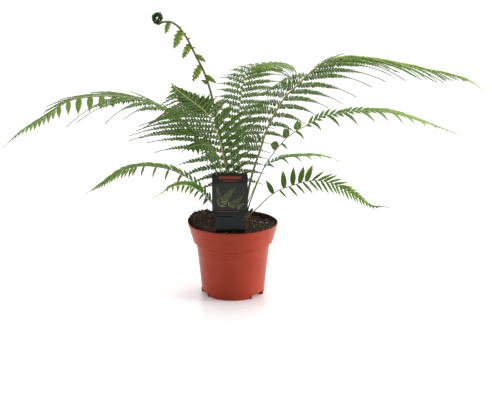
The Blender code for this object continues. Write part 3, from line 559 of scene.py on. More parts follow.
def smooth_curve(points, per_span=8):
    """Points close together along a Catmull-Rom curve through the given ones."""
    given = np.array(points, float)
    given = np.vstack((2 * given[0] - given[1], given, 2 * given[-1] - given[-2]))
    t = np.arange(per_span)[:, None] / per_span
    spans = []
    for before, start, end, after in zip(given, given[1:], given[2:], given[3:]):
        bend = (2 * before - 5 * start + 4 * end - after) + (3 * start - before - 3 * end + after) * t
        spans.append(start + 0.5 * t * (end - before + bend * t))
    return np.vstack((*spans, given[-2]))


def walked_lengths(line):
    """How far along a line each of its points lies."""
    steps = np.linalg.norm(np.diff(line, axis=0), axis=1)
    return np.concatenate(([0.0], np.cumsum(steps)))


def along(curve, shares):
    """Points at the given shares of a curve's length."""
    walked = walked_lengths(curve)
    walked /= walked[-1]
    return np.stack([np.interp(shares, walked, curve[:, axis]) for axis in range(3)], axis=-1)


def direction_at(curve, share, step=0.006):
    ends = along(curve, np.clip((share - step, share + step), 0, 1))
    return unit(ends[1] - ends[0])


def axes_along(line, upper):
    """At each point of a line: its direction, the direction across it, and its upper side."""
    forward = unit(np.gradient(line, axis=0))
    across = unit(np.cross(np.broadcast_to(upper, forward.shape), forward))
    return forward, across, np.cross(forward, across)


def linked(name, data, group=None):
    """A new object, in a collection or straight in the scene."""
    made = bpy.data.objects.new(name, data)
    (group or bpy.context.scene.collection).objects.link(made)
    return made


def dress(piece, replaced=None):
    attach(piece, "root")
    if replaced:
        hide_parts(replaced)


def make_piece(name, parts, materials, replaced=None):
    """One mesh object out of parts, which rides on the body and may stand for a CAD node."""
    starts = np.cumsum([0] + [len(part.points) for part in parts])
    points = np.vstack([part.points for part in parts]) * MM
    triangles = np.vstack([part.triangles + start for part, start in zip(parts, starts)])
    colours = np.vstack([np.broadcast_to(part.colours, part.points.shape) for part in parts])
    numbers = np.concatenate([np.full(len(part.triangles), part.material) for part in parts])
    mesh = bpy.data.meshes.new(name)
    mesh.from_pydata(points, [], triangles)
    mesh.polygons.foreach_set("material_index", numbers.astype(np.int32))
    tint = mesh.color_attributes.new("tint", "FLOAT_COLOR", "POINT")
    solid = np.hstack((np.clip(colours, 0, 1), np.ones((len(points), 1))))
    tint.data.foreach_set("color", solid.astype(np.float32).ravel())
    mesh.validate()
    mesh.shade_smooth()
    for material in materials:
        mesh.materials.append(material)
    piece = linked(name, mesh)
    dress(piece, replaced)
    return piece


def ring_faces(rings, around, poles=True):
    """Triangles between rings of points, and to a pole at each end.

    The rings' points come first, then the pole of the first ring and that of the last one.
    """
    step = np.arange(around)
    following = (step + 1) % around
    faces = []
    for low in range(0, (rings - 1) * around, around):
        high = low + around
        faces.append((low + step, high + step, low + following))
        faces.append((low + following, high + step, high + following))
    if poles:
        last, pole = (rings - 1) * around, np.full(around, rings * around)
        faces.append((step, following, pole))
        faces.append((last + following, last + step, pole + 1))
    return np.hstack(faces).T


def tube(line, radii, sides, colours, material, groove=0.0, upper=UP):
    """A closed round tube along a line. A groove, as a share of its radius, runs along its upper side."""
    line = np.asarray(line, float)
    _, across, above = axes_along(line, upper)
    angles = math.tau * np.arange(sides) / sides
    depth = 1 - groove * np.maximum(0, np.sin(angles)) ** GROOVE_SHARPNESS
    ring = (
        across[:, None] * (np.cos(angles) * depth)[:, None]
        + above[:, None] * (np.sin(angles) * depth)[:, None]
    )
    points = line[:, None] + ring * np.asarray(radii)[:, None, None]
    points = np.vstack((points.reshape(-1, 3), line[:1], line[-1:]))
    colours = np.broadcast_to(colours, line.shape)
    colours = np.vstack((np.repeat(colours, sides, axis=0), colours[:1], colours[-1:]))
    return Part(points, ring_faces(len(line), sides)[:, ::-1], colours, material)


def stitched(first, second):
    """Triangles between two chains of points, each a list of (place along the blade, point number)."""
    triangles = []
    a = b = 0
    while a < len(first) - 1 or b < len(second) - 1:
        ahead_a = first[a + 1][0] if a < len(first) - 1 else math.inf
        ahead_b = second[b + 1][0] if b < len(second) - 1 else math.inf
        if ahead_a <= ahead_b:
            triangles.append((first[a][1], first[a + 1][1], second[b][1]))
            a += 1
        else:
            triangles.append((first[a][1], second[b + 1][1], second[b][1]))
            b += 1
    return [triangle for triangle in triangles if len(set(triangle)) == 3]


def leaflet_shape(dice):
    """A leaflet's points as (along, across, up) shares, its triangles, and how ribbed each point is."""
    points = []
    ribbed = []

    def add(x, y, z, rib):
        points.append((x, y, z))
        ribbed.append(rib)
        return len(points) - 1

    tip = add(1.0, 0.0, -0.02, 0.5)
    places = [step / LEAFLET_LOBES for step in range(LEAFLET_LOBES)]
    upper = [(place, add(place, 0.0, 0.0, 1.0)) for place in places] + [(1.0, tip)]
    lower = [(place, add(place, 0.0, -LEAFLET_KEEL, 0.6)) for place in places] + [(1.0, tip)]
    triangles = []
    corners = 2 * LEAFLET_LOBES + 1
    for hand in (1, -1):
        edge = []
        for corner in range(corners):
            place = (corner + 0.4) / (corners + 0.2)
            width, ahead, rise = LEAFLET_LOBE if corner % 2 else LEAFLET_NOTCH
            half = LEAFLET_HALF_WIDTH * (1 - place ** 1.6) ** 0.85 * width * dice.uniform(*WIDTH_SPREAD)
            edge.append((place, add(place + ahead, hand * half, rise, 0.0)))
        top = stitched(upper, edge + [(1.0, tip)])
        bottom = stitched(lower, edge + [(1.0, tip)]) + [(upper[0][1], lower[0][1], edge[0][1])]
        if hand == 1:
            triangles += [triangle[::-1] for triangle in top] + bottom
        else:
            triangles += top + [triangle[::-1] for triangle in bottom]
    return np.array(points), np.array(triangles), np.array(ribbed)


def pinna_outline(share, body):
    """A long pinna's width against its widest: nearly full at first, and nothing where its tail begins."""
    widening = np.minimum(1.0, 0.74 + 2 * share)
    return widening * (1 - np.minimum(1.0, share / body) ** 2.0) ** 0.85


def blade_outline(share):
    """A short pinna's width against its widest: an oval with a narrow foot and a pointed tip."""
    return np.maximum(0.14, np.sin(math.pi * np.minimum(1.0, share + 0.04) ** 0.72) ** 0.75)


def leaf_green(pale, sun):
    """A leaf's colours: from dark to pale, and towards a sunlit yellow green."""
    pale = np.clip(pale, 0, 1)
    darker, paler = blended(DARK_LEAF, MID_LEAF, 2 * pale), blended(MID_LEAF, LIGHT_LEAF, 2 * pale - 1)
    return blended(np.where(pale[:, None] < 0.5, darker, paler), SUNLIT_LEAF, np.clip(sun, 0, 1))


def pinna_spine(pinna, shares):
    """Points along a pinna's rib, which leaves the stem straight and then sags."""
    reach = np.outer(shares * pinna.length, pinna.out)
    return pinna.base + reach - np.outer(pinna.droop * pinna.length * shares ** SAG_POWER, UP)


def cut_pinna(pinna, shape, dice):
    """A long pinna: a rib with a row of lobed leaflets on each side."""
    rib_shares = np.linspace(0, 1, RIB_SAMPLES)
    foot_green = blended(RIB_GREEN, SUNLIT_LEAF, RIB_SUN * pinna.sun)
    green = blended(foot_green, blended(TAIL_GREEN, RIB_GREEN, pinna.tone), rib_shares)
    radii = np.interp(rib_shares, (0, 1), RIB_RADII)
    parts = [tube(pinna_spine(pinna, rib_shares), radii, RIB_SIDES, green, 1, upper=pinna.face)]
    pitch_share = NARROW_PITCH + (1 - NARROW_PITCH) * pinna.breadth / FULL_BREADTH
    count = max(3, round(pinna.length / (LEAFLET_PITCH * pitch_share)))
    shape_points, shape_triangles, ribbed = shape
    x, y, z = shape_points.T
    for hand, offset in LEAFLET_ROWS:
        shares = (np.arange(count) + offset) / count
        half_widths = pinna.breadth / 2 * pinna_outline(shares, pinna.body)
        shares = shares[half_widths > LEAST_LEAFLET]
        half_widths = half_widths[half_widths > LEAST_LEAFLET]
        origins = pinna_spine(pinna, shares)
        forward, across, above = axes_along(origins, pinna.face)
        jitter = np.array([[dice.uniform(-1, 1) for _ in range(5)] for _ in shares])
        angles = np.interp(shares, (0, 1), LEAFLET_ANGLES) + LEAFLET_ANGLE_SPREAD * jitter[:, 0]
        angles = np.radians(angles)[:, None]
        lean = np.radians(np.interp(jitter[:, 1], (-1, 1), LEAFLET_DROOP))[:, None]
        twist = np.radians(LEAFLET_TWIST * jitter[:, 2])[:, None]
        flat = np.cos(angles) * forward + np.sin(angles) * hand * across
        point = np.cos(lean) * flat - np.sin(lean) * above
        side = unit(np.cross(above, point))
        over = np.cross(point, side)
        cosine, sine = np.cos(twist), np.sin(twist)
        side, over = cosine * side + sine * over, cosine * over - sine * side
        lengths = half_widths / np.sin(angles[:, 0]) * (1 + LEAFLET_LENGTH_SPREAD * jitter[:, 3])
        widths = np.minimum(pinna.length / count * LEAFLET_FILL, lengths * LEAFLET_WIDTH_LIMIT)
        curl = LEAFLET_CURL * (1 + jitter[:, 4]) * lengths
        points = (
            origins[:, None]
            + point[:, None] * (lengths[:, None] * x)[..., None]
            + side[:, None] * (widths[:, None] * y)[..., None]
            + over[:, None] * (widths[:, None] * z - curl[:, None] * x ** 2)[..., None]
        )
        pale = pinna.tone * (0.35 + 0.9 * shares) + 0.3 * shares ** 2 + 0.12 * jitter[:, 3]
        leaf = leaf_green(pale, pinna.sun) * (1 + 0.14 * jitter[:, 0])[:, None]
        colours = blended(leaf[:, None], RIB_GREEN, RIB_TINT * ribbed[None, :])
        triangles = shape_triangles[None] + len(shape_points) * np.arange(len(shares))[:, None, None]
        parts.append(Part(points.reshape(-1, 3), triangles.reshape(-1, 3), colours.reshape(-1, 3), 0))
    return parts


def lobed_blade(pinna, dice):
    """A short pinna: one closed blade with a lobed edge, folded a little along its rib."""
    count = max(2, round(pinna.length / LOBE_PITCH)) * LOBE_SAMPLES
    shares = np.arange(count + 1) / count
    spine = pinna_spine(pinna, shares)
    forward, across, above = axes_along(spine, pinna.face)
    phase = np.arange(count + 1) % LOBE_SAMPLES / LOBE_SAMPLES
    cut = 1 - LOBE_DEPTH * (1 - np.sin(math.pi * phase)) ** 1.5
    half = pinna.breadth / 2 * blade_outline(shares) * cut
    half[-1] = BLADE_TIP
    lift = BLADE_FOLD * half
    rows = []
    for reach, height in BLADE_SECTION:
        rows.append(
            spine
            + across * (reach * half)[:, None]
            + above * (height * lift)[:, None]
            + forward * (abs(reach) * BLADE_SLANT * half)[:, None]
        )
    thick = BLADE_THICKNESS * (1 - BLADE_THINNING * shares)
    rows.append(spine - above * (thick + 0.5 * lift)[:, None])
    points = np.stack(rows, axis=1)
    around = len(rows)
    pale = pinna.tone * (0.6 + 0.5 * shares) + dice.uniform(-0.12, 0.12)
    leaf = leaf_green(pale, pinna.sun) * dice.uniform(0.88, 1.12)
    colours = blended(leaf[:, None], RIB_GREEN, np.array(BLADE_RIB_TINT)[None, :])
    end = count * around
    caps = []
    for side in range(1, around - 1):
        caps += [(0, side, side + 1), (end, end + side + 1, end + side)]
    triangles = np.vstack((ring_faces(count + 1, around, poles=False), caps))
    return Part(points.reshape(-1, 3), triangles, colours.reshape(-1, 3), 0)


def side_at(frond, share, heading):
    """The direction square to the stem in which the first row of pinnae points."""
    wanted = np.array([np.interp(share, (0, 0.5, 1), values) for values in zip(*frond.sides)])
    return unit(wanted - heading * wanted.dot(heading))


def length_share(leafy, row):
    """A pinna's length against its row's longest, at a share of the leafy part of the stem."""
    if leafy < row.peak:
        return np.interp(leafy, (row.start, row.peak), (row.first, 1))
    fall = ((leafy - row.peak) / (1 - row.peak)) ** row.fall
    return max(LEAST_LENGTH_SHARE, 1 - fall)


def pinna_plan(frond, line):
    """Each of a frond's pinnae."""
    dice = random.Random(frond.name)
    for row in frond.rows:
        spacing = (1 - frond.bare) * walked_lengths(line)[-1] / frond.pairs * row.every
        for index in range(frond.pairs):
            leafy = ((index + 0.5 - PAIR_OFFSET * row.side) / frond.pairs) ** frond.spacing
            if not row.start <= leafy < row.end or index % row.every:
                continue
            share = frond.bare + (LAST_PINNA - frond.bare) * leafy
            heading = direction_at(line, share)
            side = row.side * side_at(frond, share, heading)
            face = row.side * unit(np.cross(heading, side))
            progress = ((leafy - row.start) / (row.end - row.start)) ** SWEEP_POWER
            sweep, rise = (
                math.radians(np.interp(progress, (0, 1), ends) + dice.uniform(-ANGLE_SPREAD, ANGLE_SPREAD))
                for ends in (row.sweep, row.rise)
            )
            flat = math.cos(sweep) * side + math.sin(sweep) * heading
            length = row.reach * length_share(leafy, row) * dice.uniform(*LENGTH_SPREAD)
            droop = np.interp(leafy, (row.start, row.end), row.droop) * dice.uniform(*DROOP_SPREAD)
            breadth = min(row.breadth, PACKING * spacing * math.cos(sweep) + PACKING_EXTRA)
            breadth = max(LEAST_BREADTH, breadth)
            breadth *= SHORT_BREADTH_SHARE + (1 - SHORT_BREADTH_SHARE) * length / row.reach
            out = math.cos(rise) * flat + math.sin(rise) * face
            upper = unit((face if face.dot(UP + 2 * FRONT) >= 0 else -face) + FACE_TURN * FRONT)
            breadth = min(breadth, BREADTH_LIMIT * length)
            body = np.interp(length / row.reach, BARE_TAIL_LENGTHS, (1, row.body))
            tone = np.clip(frond.light * (LIGHT_AT_FOOT + LIGHT_GAIN * leafy), 0, 1)
            sun = frond.sun * np.interp(leafy, SUN_PLACES, SUN_SHARES)
            base = along(line, [share])[0]
            yield Pinna(base, out, upper, length, droop, breadth, body, tone, sun)


def build_frond(frond, materials):
    dice = random.Random(frond.name + "_leaflets")
    line = smooth_curve(frond.path)
    shares = np.linspace(0, 1, STEM_SAMPLES)
    radii = np.maximum(LEAST_STEM, frond.stem * (1 - STEM_TAPER * shares))
    colours = blended(frond.base, frond.tip, np.clip(shares * STEM_PALING, 0, 1))
    heading = direction_at(line, 0.5)
    face = np.cross(heading, side_at(frond, 0.5, heading))
    parts = [tube(along(line, shares), radii, STEM_SIDES, colours, 1, STEM_GROOVE, face)]
    shapes = [leaflet_shape(dice) for _ in range(LEAFLET_SHAPES)]
    for pinna in pinna_plan(frond, line):
        pinna = pinna._replace(sun=pinna.sun * dice.uniform(*SUN_SPREAD))
        if pinna.length < frond.entire:
            parts.append(lobed_blade(pinna, dice))
        else:
            parts += cut_pinna(pinna, dice.choice(shapes), dice)
    replaced = frond.name if frond.name in frame["nodes"] else None
    make_piece(frond.name + "_leafy", parts, materials, replaced)


def crozier_coil(samples):
    """The coiled tip's centre line, from the outside to its middle."""
    shares = np.linspace(0, 1, samples)
    angles = np.radians(COIL_START_ANGLE - 360 * COIL_TURNS * shares)
    radii = COIL_OUTER_RADIUS + (COIL_INNER_RADIUS - COIL_OUTER_RADIUS) * shares
    turn = np.stack((radii * np.cos(angles), np.zeros(samples), radii * np.sin(angles)), axis=-1)
    return turn + COIL_CENTRE


def build_crozier(materials):
    dice = random.Random("crozier")
    straight = along(smooth_curve(CROZIER_STEM), np.linspace(0, 1, STEM_SAMPLES))
    line = np.vstack((straight, crozier_coil(COIL_SAMPLES)))
    radii = np.interp(
        np.arange(len(line)), (0, len(straight), len(line) - 1),
        (CROZIER_SEAT_RADIUS, CROZIER_NECK_RADIUS, CROZIER_TIP_RADIUS),
    )
    colours = blended(CROZIER_OLIVE, COIL_GREEN, np.linspace(0, 1, len(line)))
    parts = [tube(line, radii, STEM_SIDES, colours, 1, upper=(0.0, 1.0, 0.0))]
    shapes = [leaflet_shape(dice) for _ in range(YOUNG_SHAPES)]
    for share, length, hang in YOUNG_PINNAE:
        out = unit(np.array(hang))
        face = unit(np.cross(np.cross(out, YOUNG_FACE), out))
        breadth = YOUNG_BREADTH * length
        base = along(straight, [share])[0]
        pinna = Pinna(base, out, face, length, YOUNG_DROOP, breadth, 1.0, YOUNG_TONE, YOUNG_SUN)
        parts.append(lobed_blade(pinna._replace(breadth=YOUNG_BLADE_SHARE * breadth), dice))
        if length > breadth > YOUNG_LEAST_CUT:
            parts += cut_pinna(pinna, dice.choice(shapes), dice)
    coil = crozier_coil(FURLED)
    sizes = [dice.uniform(*FURLED_SIZES) for _ in coil]
    off = np.array([[dice.gauss(0, spread) for spread in FURLED_SPREAD] for _ in coil])
    greens = [FURLED_GREEN * dice.uniform(*FURLED_SHADES) for _ in coil]
    parts.append(crumbs(list(zip(coil + off, sizes, greens)), FURLED_SQUASH, dice))
    make_piece("frond_crozier_leafy", parts, materials, "frond_crozier")


def new_object(name, shell, group=None):
    """An object from a bmesh, which is freed."""
    mesh = bpy.data.meshes.new(name)
    shell.to_mesh(mesh)
    shell.free()
    return linked(name, mesh, group)


def points_and_triangles(shell):
    """What a bmesh of triangles holds, as arrays. The bmesh is freed."""
    shell.verts.index_update()
    points = np.array([vertex.co for vertex in shell.verts])
    triangles = np.array([[vertex.index for vertex in face.verts] for face in shell.faces])
    shell.free()
    return points, triangles


def collection(name):
    made = bpy.data.collections.new(name)
    bpy.context.scene.collection.children.link(made)
    return made


def evaluated_mesh(obj):
    """What an object's modifiers give, as a mesh of its own."""
    graph = bpy.context.evaluated_depsgraph_get()
    graph.update()
    return bpy.data.meshes.new_from_object(obj.evaluated_get(graph))


def apply_boolean(obj, operation, others):
    """Joins or cuts obj with a collection's objects, then removes them."""
    modifier = obj.modifiers.new(operation.lower(), "BOOLEAN")
    modifier.operation = operation
    modifier.operand_type = "COLLECTION"
    modifier.collection = others
    modifier.solver = "EXACT"
    joined = evaluated_mesh(obj)
    obj.modifiers.clear()
    obj.data = joined
    for other in list(others.objects):
        bpy.data.objects.remove(other)
    bpy.data.collections.remove(others)


def turned(name, profile, sides):
    """A turned solid on the upright axis. Its profile runs down the outer side."""
    points = [(radius * MM, 0, height * MM) for radius, height in profile]
    mesh = bpy.data.meshes.new(name)
    mesh.from_pydata(points, [(i, i + 1) for i in range(len(points) - 1)], [])
    made = linked(name, mesh)
    screw = made.modifiers.new("turn", "SCREW")
    screw.steps = screw.render_steps = sides
    screw.use_merge_vertices = True
    screw.merge_threshold = 1e-5
    made.data = evaluated_mesh(made)
    made.modifiers.clear()
    shell = bmesh.new()
    shell.from_mesh(made.data)
    bmesh.ops.recalc_face_normals(shell, faces=shell.faces)
    shell.to_mesh(made.data)
    shell.free()
    return made


def block(name, low, high, group, azimuth):
    """A box between two corners, turned about the pot's axis."""
    low, high = np.array(low), np.array(high)
    place = Matrix.Rotation(math.radians(azimuth), 4, "Z") @ Matrix.Translation((low + high) / 2 * MM)
    shell = bmesh.new()
    bmesh.ops.create_cube(shell, size=1, matrix=place @ Matrix.Diagonal((*((high - low) * MM), 1)))
    new_object(name, shell, group)


def drain(name, azimuth, group):
    """The cutter of one drain hole, through the step over a notch."""
    middle = ((NOTCH_DEPTH_RADIUS + DRAIN_INSET) * MM, 0, NOTCH_HEIGHT * MM)
    shell = bmesh.new()
    bmesh.ops.create_cone(
        shell, cap_ends=True, segments=DRAIN_SIDES, radius1=DRAIN_RADIUS * MM, radius2=DRAIN_RADIUS * MM,
        depth=(NOTCH_HEIGHT + WALL + 2 * OVERSHOOT) * MM,
        matrix=Matrix.Rotation(math.radians(azimuth), 4, "Z") @ Matrix.Translation(middle),
    )
    new_object(name, shell, group)


def inner_radius(height):
    """The pot's inner radius at a height."""
    return np.interp(
        height,
        (0, BAND_FOOT_HEIGHT - STEP_RISE, BAND_FOOT_HEIGHT + STEP_RISE, POT_HEIGHT),
        (FOOT_RADIUS - WALL, WALL_TOP_RADIUS - WALL, BAND_FOOT_RADIUS - WALL, RIM_RADIUS - WALL),
    )


def wall_radius(height):
    """The outer radius of the wall below the band."""
    return np.interp(height, (0, BAND_FOOT_HEIGHT - STEP_RISE), (FOOT_RADIUS, WALL_TOP_RADIUS))


def rounded(centre, radius, start, end, steps=5):
    """Points of an outline round a corner, from one angle to another."""
    turns = [polar(radius, angle) for angle in np.radians(np.linspace(start, end, steps))]
    return [(centre[0] + x, centre[1] + z) for x, z in turns]


def pot_profile():
    """The pot's section: up the inside, over the rim, and down the outside to the middle of the foot."""
    bead = WALL / 2
    step_foot, step_top = BAND_FOOT_HEIGHT - STEP_RISE, BAND_FOOT_HEIGHT + STEP_RISE
    profile = [(0, POT_FLOOR), (inner_radius(POT_FLOOR) - FLOOR_FILLET, POT_FLOOR)]
    for height in (POT_FLOOR + FLOOR_FILLET, step_foot, step_top, POT_HEIGHT - bead):
        profile.append((inner_radius(height), height))
    profile += rounded((RIM_RADIUS - bead, POT_HEIGHT - bead), bead, 180, 0)
    profile.append((RIM_RADIUS - LIP_STAND, POT_HEIGHT - LIP_HEIGHT))
    profile += rounded((BAND_FOOT_RADIUS - BAND_EDGE, BAND_FOOT_HEIGHT + BAND_EDGE), BAND_EDGE, 0, -90)
    profile += rounded((WALL_TOP_RADIUS + STEP_FILLET, step_foot - STEP_FILLET), STEP_FILLET, 90, 180)
    for height in RIB_HEIGHTS:
        for offset, stand in RIB_SECTION:
            profile.append((wall_radius(height + offset) + stand, height + offset))
    profile += rounded((FOOT_RADIUS - FOOT_INSET, FOOT_EDGE), FOOT_EDGE, 0, -90)
    return profile + [(FOOT_RADIUS - FOOT_RING, 0), (0, 0)]


def build_pot():
    pot = turned("nursery_pot", pot_profile(), POT_SIDES)
    steps = collection("notch_steps")
    cuts = collection("pot_cuts")
    half_width = NOTCH_WIDTH / 2
    for index, azimuth in enumerate(NOTCH_AZIMUTHS):
        block(
            f"notch_step_{index}",
            (NOTCH_DEPTH_RADIUS - WALL, -half_width - WALL, POT_FLOOR - SINK),
            (FOOT_RADIUS - WALL / 2, half_width + WALL, NOTCH_HEIGHT + WALL),
            steps, azimuth,
        )
        block(
            f"notch_{index}",
            (NOTCH_DEPTH_RADIUS, -half_width, -OVERSHOOT),
            (FOOT_RADIUS + OVERSHOOT, half_width, NOTCH_HEIGHT),
            cuts, azimuth,
        )
        drain(f"drain_{index}", azimuth, cuts)
    apply_boolean(pot, "UNION", steps)
    apply_boolean(pot, "DIFFERENCE", cuts)
    pot.data.materials.clear()
    pot.data.materials.append(pot_material())
    pot.data.shade_smooth()
    pot.data.set_sharp_from_angle(angle=math.radians(POT_SHARP_ANGLE))
    dress(pot, "pot")


def mound(x, y, centre, size):
    """A smooth round mound, 1 at its centre."""
    return math.exp(-(((x - centre[0]) / size[0]) ** 2) - ((y - centre[1]) / size[1]) ** 2)


def rough_soil(x, y):
    """The soil's height: heaped up on the left, sunk at the back right, and lumpy."""
    heap = HEAP_RISE * mound(x, y, HEAP_CENTRE, HEAP_SIZE)
    height = SOIL_LEVEL + heap - DIP_FALL * mound(x, y, DIP_CENTRE, DIP_SIZE)
    for index, (width, rise) in enumerate(SOIL_LUMPS):
        height += rise * noise.noise(Vector((x / width, y / width, 7.3 * index)))
    return height


def crumbs(lumps, squash, dice):
    """Many small angular lumps, each an icosahedron with its corners pulled about and then turned.

    lumps is a list of (middle, size, colour).
    """
    centres, sizes, colours = (np.array(column) for column in zip(*lumps))
    golden = (1 + math.sqrt(5)) / 2
    hull = bmesh.new()
    for a in (-1, 1):
        for b in (-golden, golden):
            for corner in ((0, a, b), (a, b, 0), (b, 0, a)):
                hull.verts.new(unit(np.array(corner)))
    bmesh.ops.convex_hull(hull, input=hull.verts)
    shape, triangles = points_and_triangles(hull)
    rng = np.random.default_rng(dice.randrange(10 ** 6))
    points = shape[None] * rng.uniform(*CORNER_SPREAD, (len(lumps), len(shape), 1))
    points = points * rng.uniform(squash, 1.0, (len(lumps), 1, 3))
    turns = unit(rng.normal(size=(len(lumps), 1, 4)))
    twist = 2 * np.cross(turns[..., 1:], points)
    points = points + turns[..., :1] * twist + np.cross(turns[..., 1:], twist)
    points = centres[:, None] + points * sizes[:, None, None] / 2
    triangles = triangles[None] + len(shape) * np.arange(len(lumps))[:, None, None]
    colours = np.repeat(colours, len(shape), axis=0)
    return Part(points.reshape(-1, 3), triangles.reshape(-1, 3), colours, 0)


def soil_bed(dice):
    """The soil's body: a lumpy top inside the pot, and plain sides and bottom."""
    angles = math.tau * np.arange(SOIL_SEGMENTS) / SOIL_SEGMENTS
    points, shades = [], []
    edge = inner_radius(SOIL_LEVEL - DIP_FALL) - SOIL_CLEARANCE
    for ring in range(1, SOIL_RINGS + 1):
        for angle in angles:
            x, y = polar(edge * (ring / SOIL_RINGS), angle)
            points.append((x, y, rough_soil(x, y) + dice.uniform(-0.25, 0.25)))
            shades.append(0.5 + 0.6 * noise.noise(Vector((x / 2.3, y / 2.3, 3.1))))
    side_heights = (BAND_FOOT_HEIGHT + STEP_RISE, BAND_FOOT_HEIGHT - STEP_RISE, SOIL_FOOT)
    for height in side_heights:
        radius = inner_radius(height) - SOIL_SIDE_CLEARANCE
        points += [(*polar(radius, angle), height) for angle in angles]
    points += [(0.0, 0.0, rough_soil(0, 0)), (0.0, 0.0, SOIL_FOOT)]
    shades += [SIDE_SHADE] * (len(points) - len(shades))
    colours = blended(DARK_SOIL, BROWN_SOIL, np.clip(shades, 0, 1))
    return Part(np.array(points), ring_faces(SOIL_RINGS + len(side_heights), SOIL_SEGMENTS), colours, 0)


def scattered(count, reach, dice):
    """Places spread evenly over the soil, as (x, y)."""
    places = []
    while len(places) < count:
        x, y = dice.uniform(-reach, reach), dice.uniform(-reach, reach)
        if math.hypot(x, y) < reach:
            places.append((x, y))
    return places


def soil_crumbs(reach, dice):
    """Crumbs all over the soil, on the rim and on the inner wall, with white grains and moss."""
    lumps = []
    for x, y in scattered(CRUMBS, reach, dice):
        size = dice.uniform(*CRUMB_SIZES) * dice.uniform(0.5, 1.0)
        colour = blended(DARK_SOIL, BROWN_SOIL, dice.random() ** 1.5)
        lumps.append(((x, y, rough_soil(x, y) + 0.25 * size), size, colour))
    for azimuth, spread, count, rise, rim_sizes in RIM_HEAPS:
        for _ in range(count):
            angle = math.radians(azimuth + dice.gauss(0, spread / 2))
            off = dice.gauss(0, 1)
            radius = RIM_HEAP_RADIUS + RIM_HEAP_SPREAD * off
            size = dice.uniform(*rim_sizes)
            height = POT_HEIGHT + 0.35 * size + rise * dice.random() * math.exp(-off * off / 2)
            if radius <= RIM_RADIUS + 0.45 * size:
                colour = blended(DARK_SOIL, BROWN_SOIL, dice.random())
                lumps.append(((*polar(radius, angle), height), size, colour))
    for _ in range(WALL_CRUMBS):
        angle = math.radians(dice.uniform(*WALL_CRUMB_ARC))
        height = dice.uniform(SOIL_LEVEL - DIP_FALL, POT_HEIGHT - WALL_CRUMB_MARGIN)
        size = dice.uniform(*WALL_CRUMB_SIZES)
        colour = blended(DARK_SOIL, BROWN_SOIL, 0.6 * dice.random())
        lumps.append(((*polar(inner_radius(height) - 0.2 * size, angle), height), size, colour))
    for count, place_x, place_y, grain_sizes, stand, colour, shades in GRAINS:
        for _ in range(count):
            x, y = dice.gauss(*place_x), dice.gauss(*place_y)
            if math.hypot(x, y) < reach:
                size = dice.uniform(*grain_sizes)
                place = (x, y, rough_soil(x, y) + stand * size)
                lumps.append((place, size, colour * dice.uniform(*shades)))
    return lumps


def soil_fibre(x, y, reach, dice):
    """A thin bent root that lies on the soil."""
    turn, length = dice.uniform(0, math.tau), dice.uniform(*FIBRE_LENGTHS)
    bend = dice.uniform(-FIBRE_BEND, FIBRE_BEND)
    ahead, aside = np.array(polar(1, turn)), np.array((math.sin(turn), -math.cos(turn)))
    line = []
    for share in np.linspace(-0.5, 0.5, FIBRE_SAMPLES):
        place = np.array((x, y)) + length * (share * ahead + bend * share ** 2 * aside)
        place = (place * min(1.0, reach / max(1.0, math.hypot(*place)))).tolist()
        line.append((*place, rough_soil(*place) + FIBRE_LIFT + dice.uniform(0, 0.8)))
    tone = blended(BROWN_SOIL, FIBRE_TAN, dice.random())
    return tube(line, np.full(FIBRE_SAMPLES, dice.uniform(*FIBRE_RADII)), 4, tone, 0)


def build_soil():
    dice = random.Random("soil")
    reach = inner_radius(SOIL_LEVEL) - RIM_GAP
    lumps = soil_crumbs(reach, dice)
    parts = [soil_bed(dice), crumbs(lumps, CRUMB_SQUASH, dice)]
    chips = []
    for x, y in scattered(BARK_CHIPS, reach, dice):
        size = dice.uniform(*CHIP_SIZES)
        colour = blended(BROWN_SOIL, BARK_BROWN, dice.random())
        chips.append(((x, y, rough_soil(x, y) + 0.12 * size), size, colour))
    parts.append(crumbs(chips, CHIP_SQUASH, dice))
    parts += [soil_fibre(x, y, reach, dice) for x, y in scattered(FIBRES, reach, dice)]
    make_piece("potting_soil", parts, [rough_material("soil_crumbs", 0.95)], "soil")


def crown_surface(azimuth, share):
    """A point on the crown a share of the way down its dome, and its outward direction."""
    dome = np.array(CROWN_DOME) * (CROWN_RADIUS, 1)
    walked = walked_lengths(dome)
    radius, depth = (np.interp(share, walked / walked[-1], column) for column in dome.T)
    lump = CROWN_LUMP * noise.noise(Vector((*polar(2.5, azimuth), 6 * share)))
    out = np.array((*polar(1, azimuth), 0))
    normal = unit(out * min(1.0, 2 * share) + UP * max(0.05, 1 - 1.6 * share))
    return np.array((*CROWN_CENTRE, CROWN_TOP - depth)) + out * radius + normal * lump, normal


def hair(base, direction, length, radius, colour, dice):
    """One curved hair, which tapers to its tip."""
    bend = anywhere(0.5, dice) - 0.25 * UP
    line = [base + direction * length * s + bend * length * s * s for s in (0, 0.35, 0.7, 1.0)]
    return tube(line, radius * np.array((1.0, 0.8, 0.5, 0.15)), 3, colour, 0)


def crown_stub(azimuth, lean, length, radius):
    """The foot of an old stem that was cut off."""
    azimuth, lean = math.radians(azimuth), math.radians(lean)
    point, _ = crown_surface(azimuth, STUB_PLACE)
    direction = math.cos(lean) * UP + math.sin(lean) * np.array((*polar(1, azimuth), 0))
    shares = np.linspace(0, 1, len(STUB_TAPER))
    line = [point + direction * ((length + STUB_SINK) * share - STUB_SINK) for share in shares]
    return tube(line, radius * np.array(STUB_TAPER), 9, blended(SCALE_BROWN, STUB_BROWN, shares ** 3), 0)


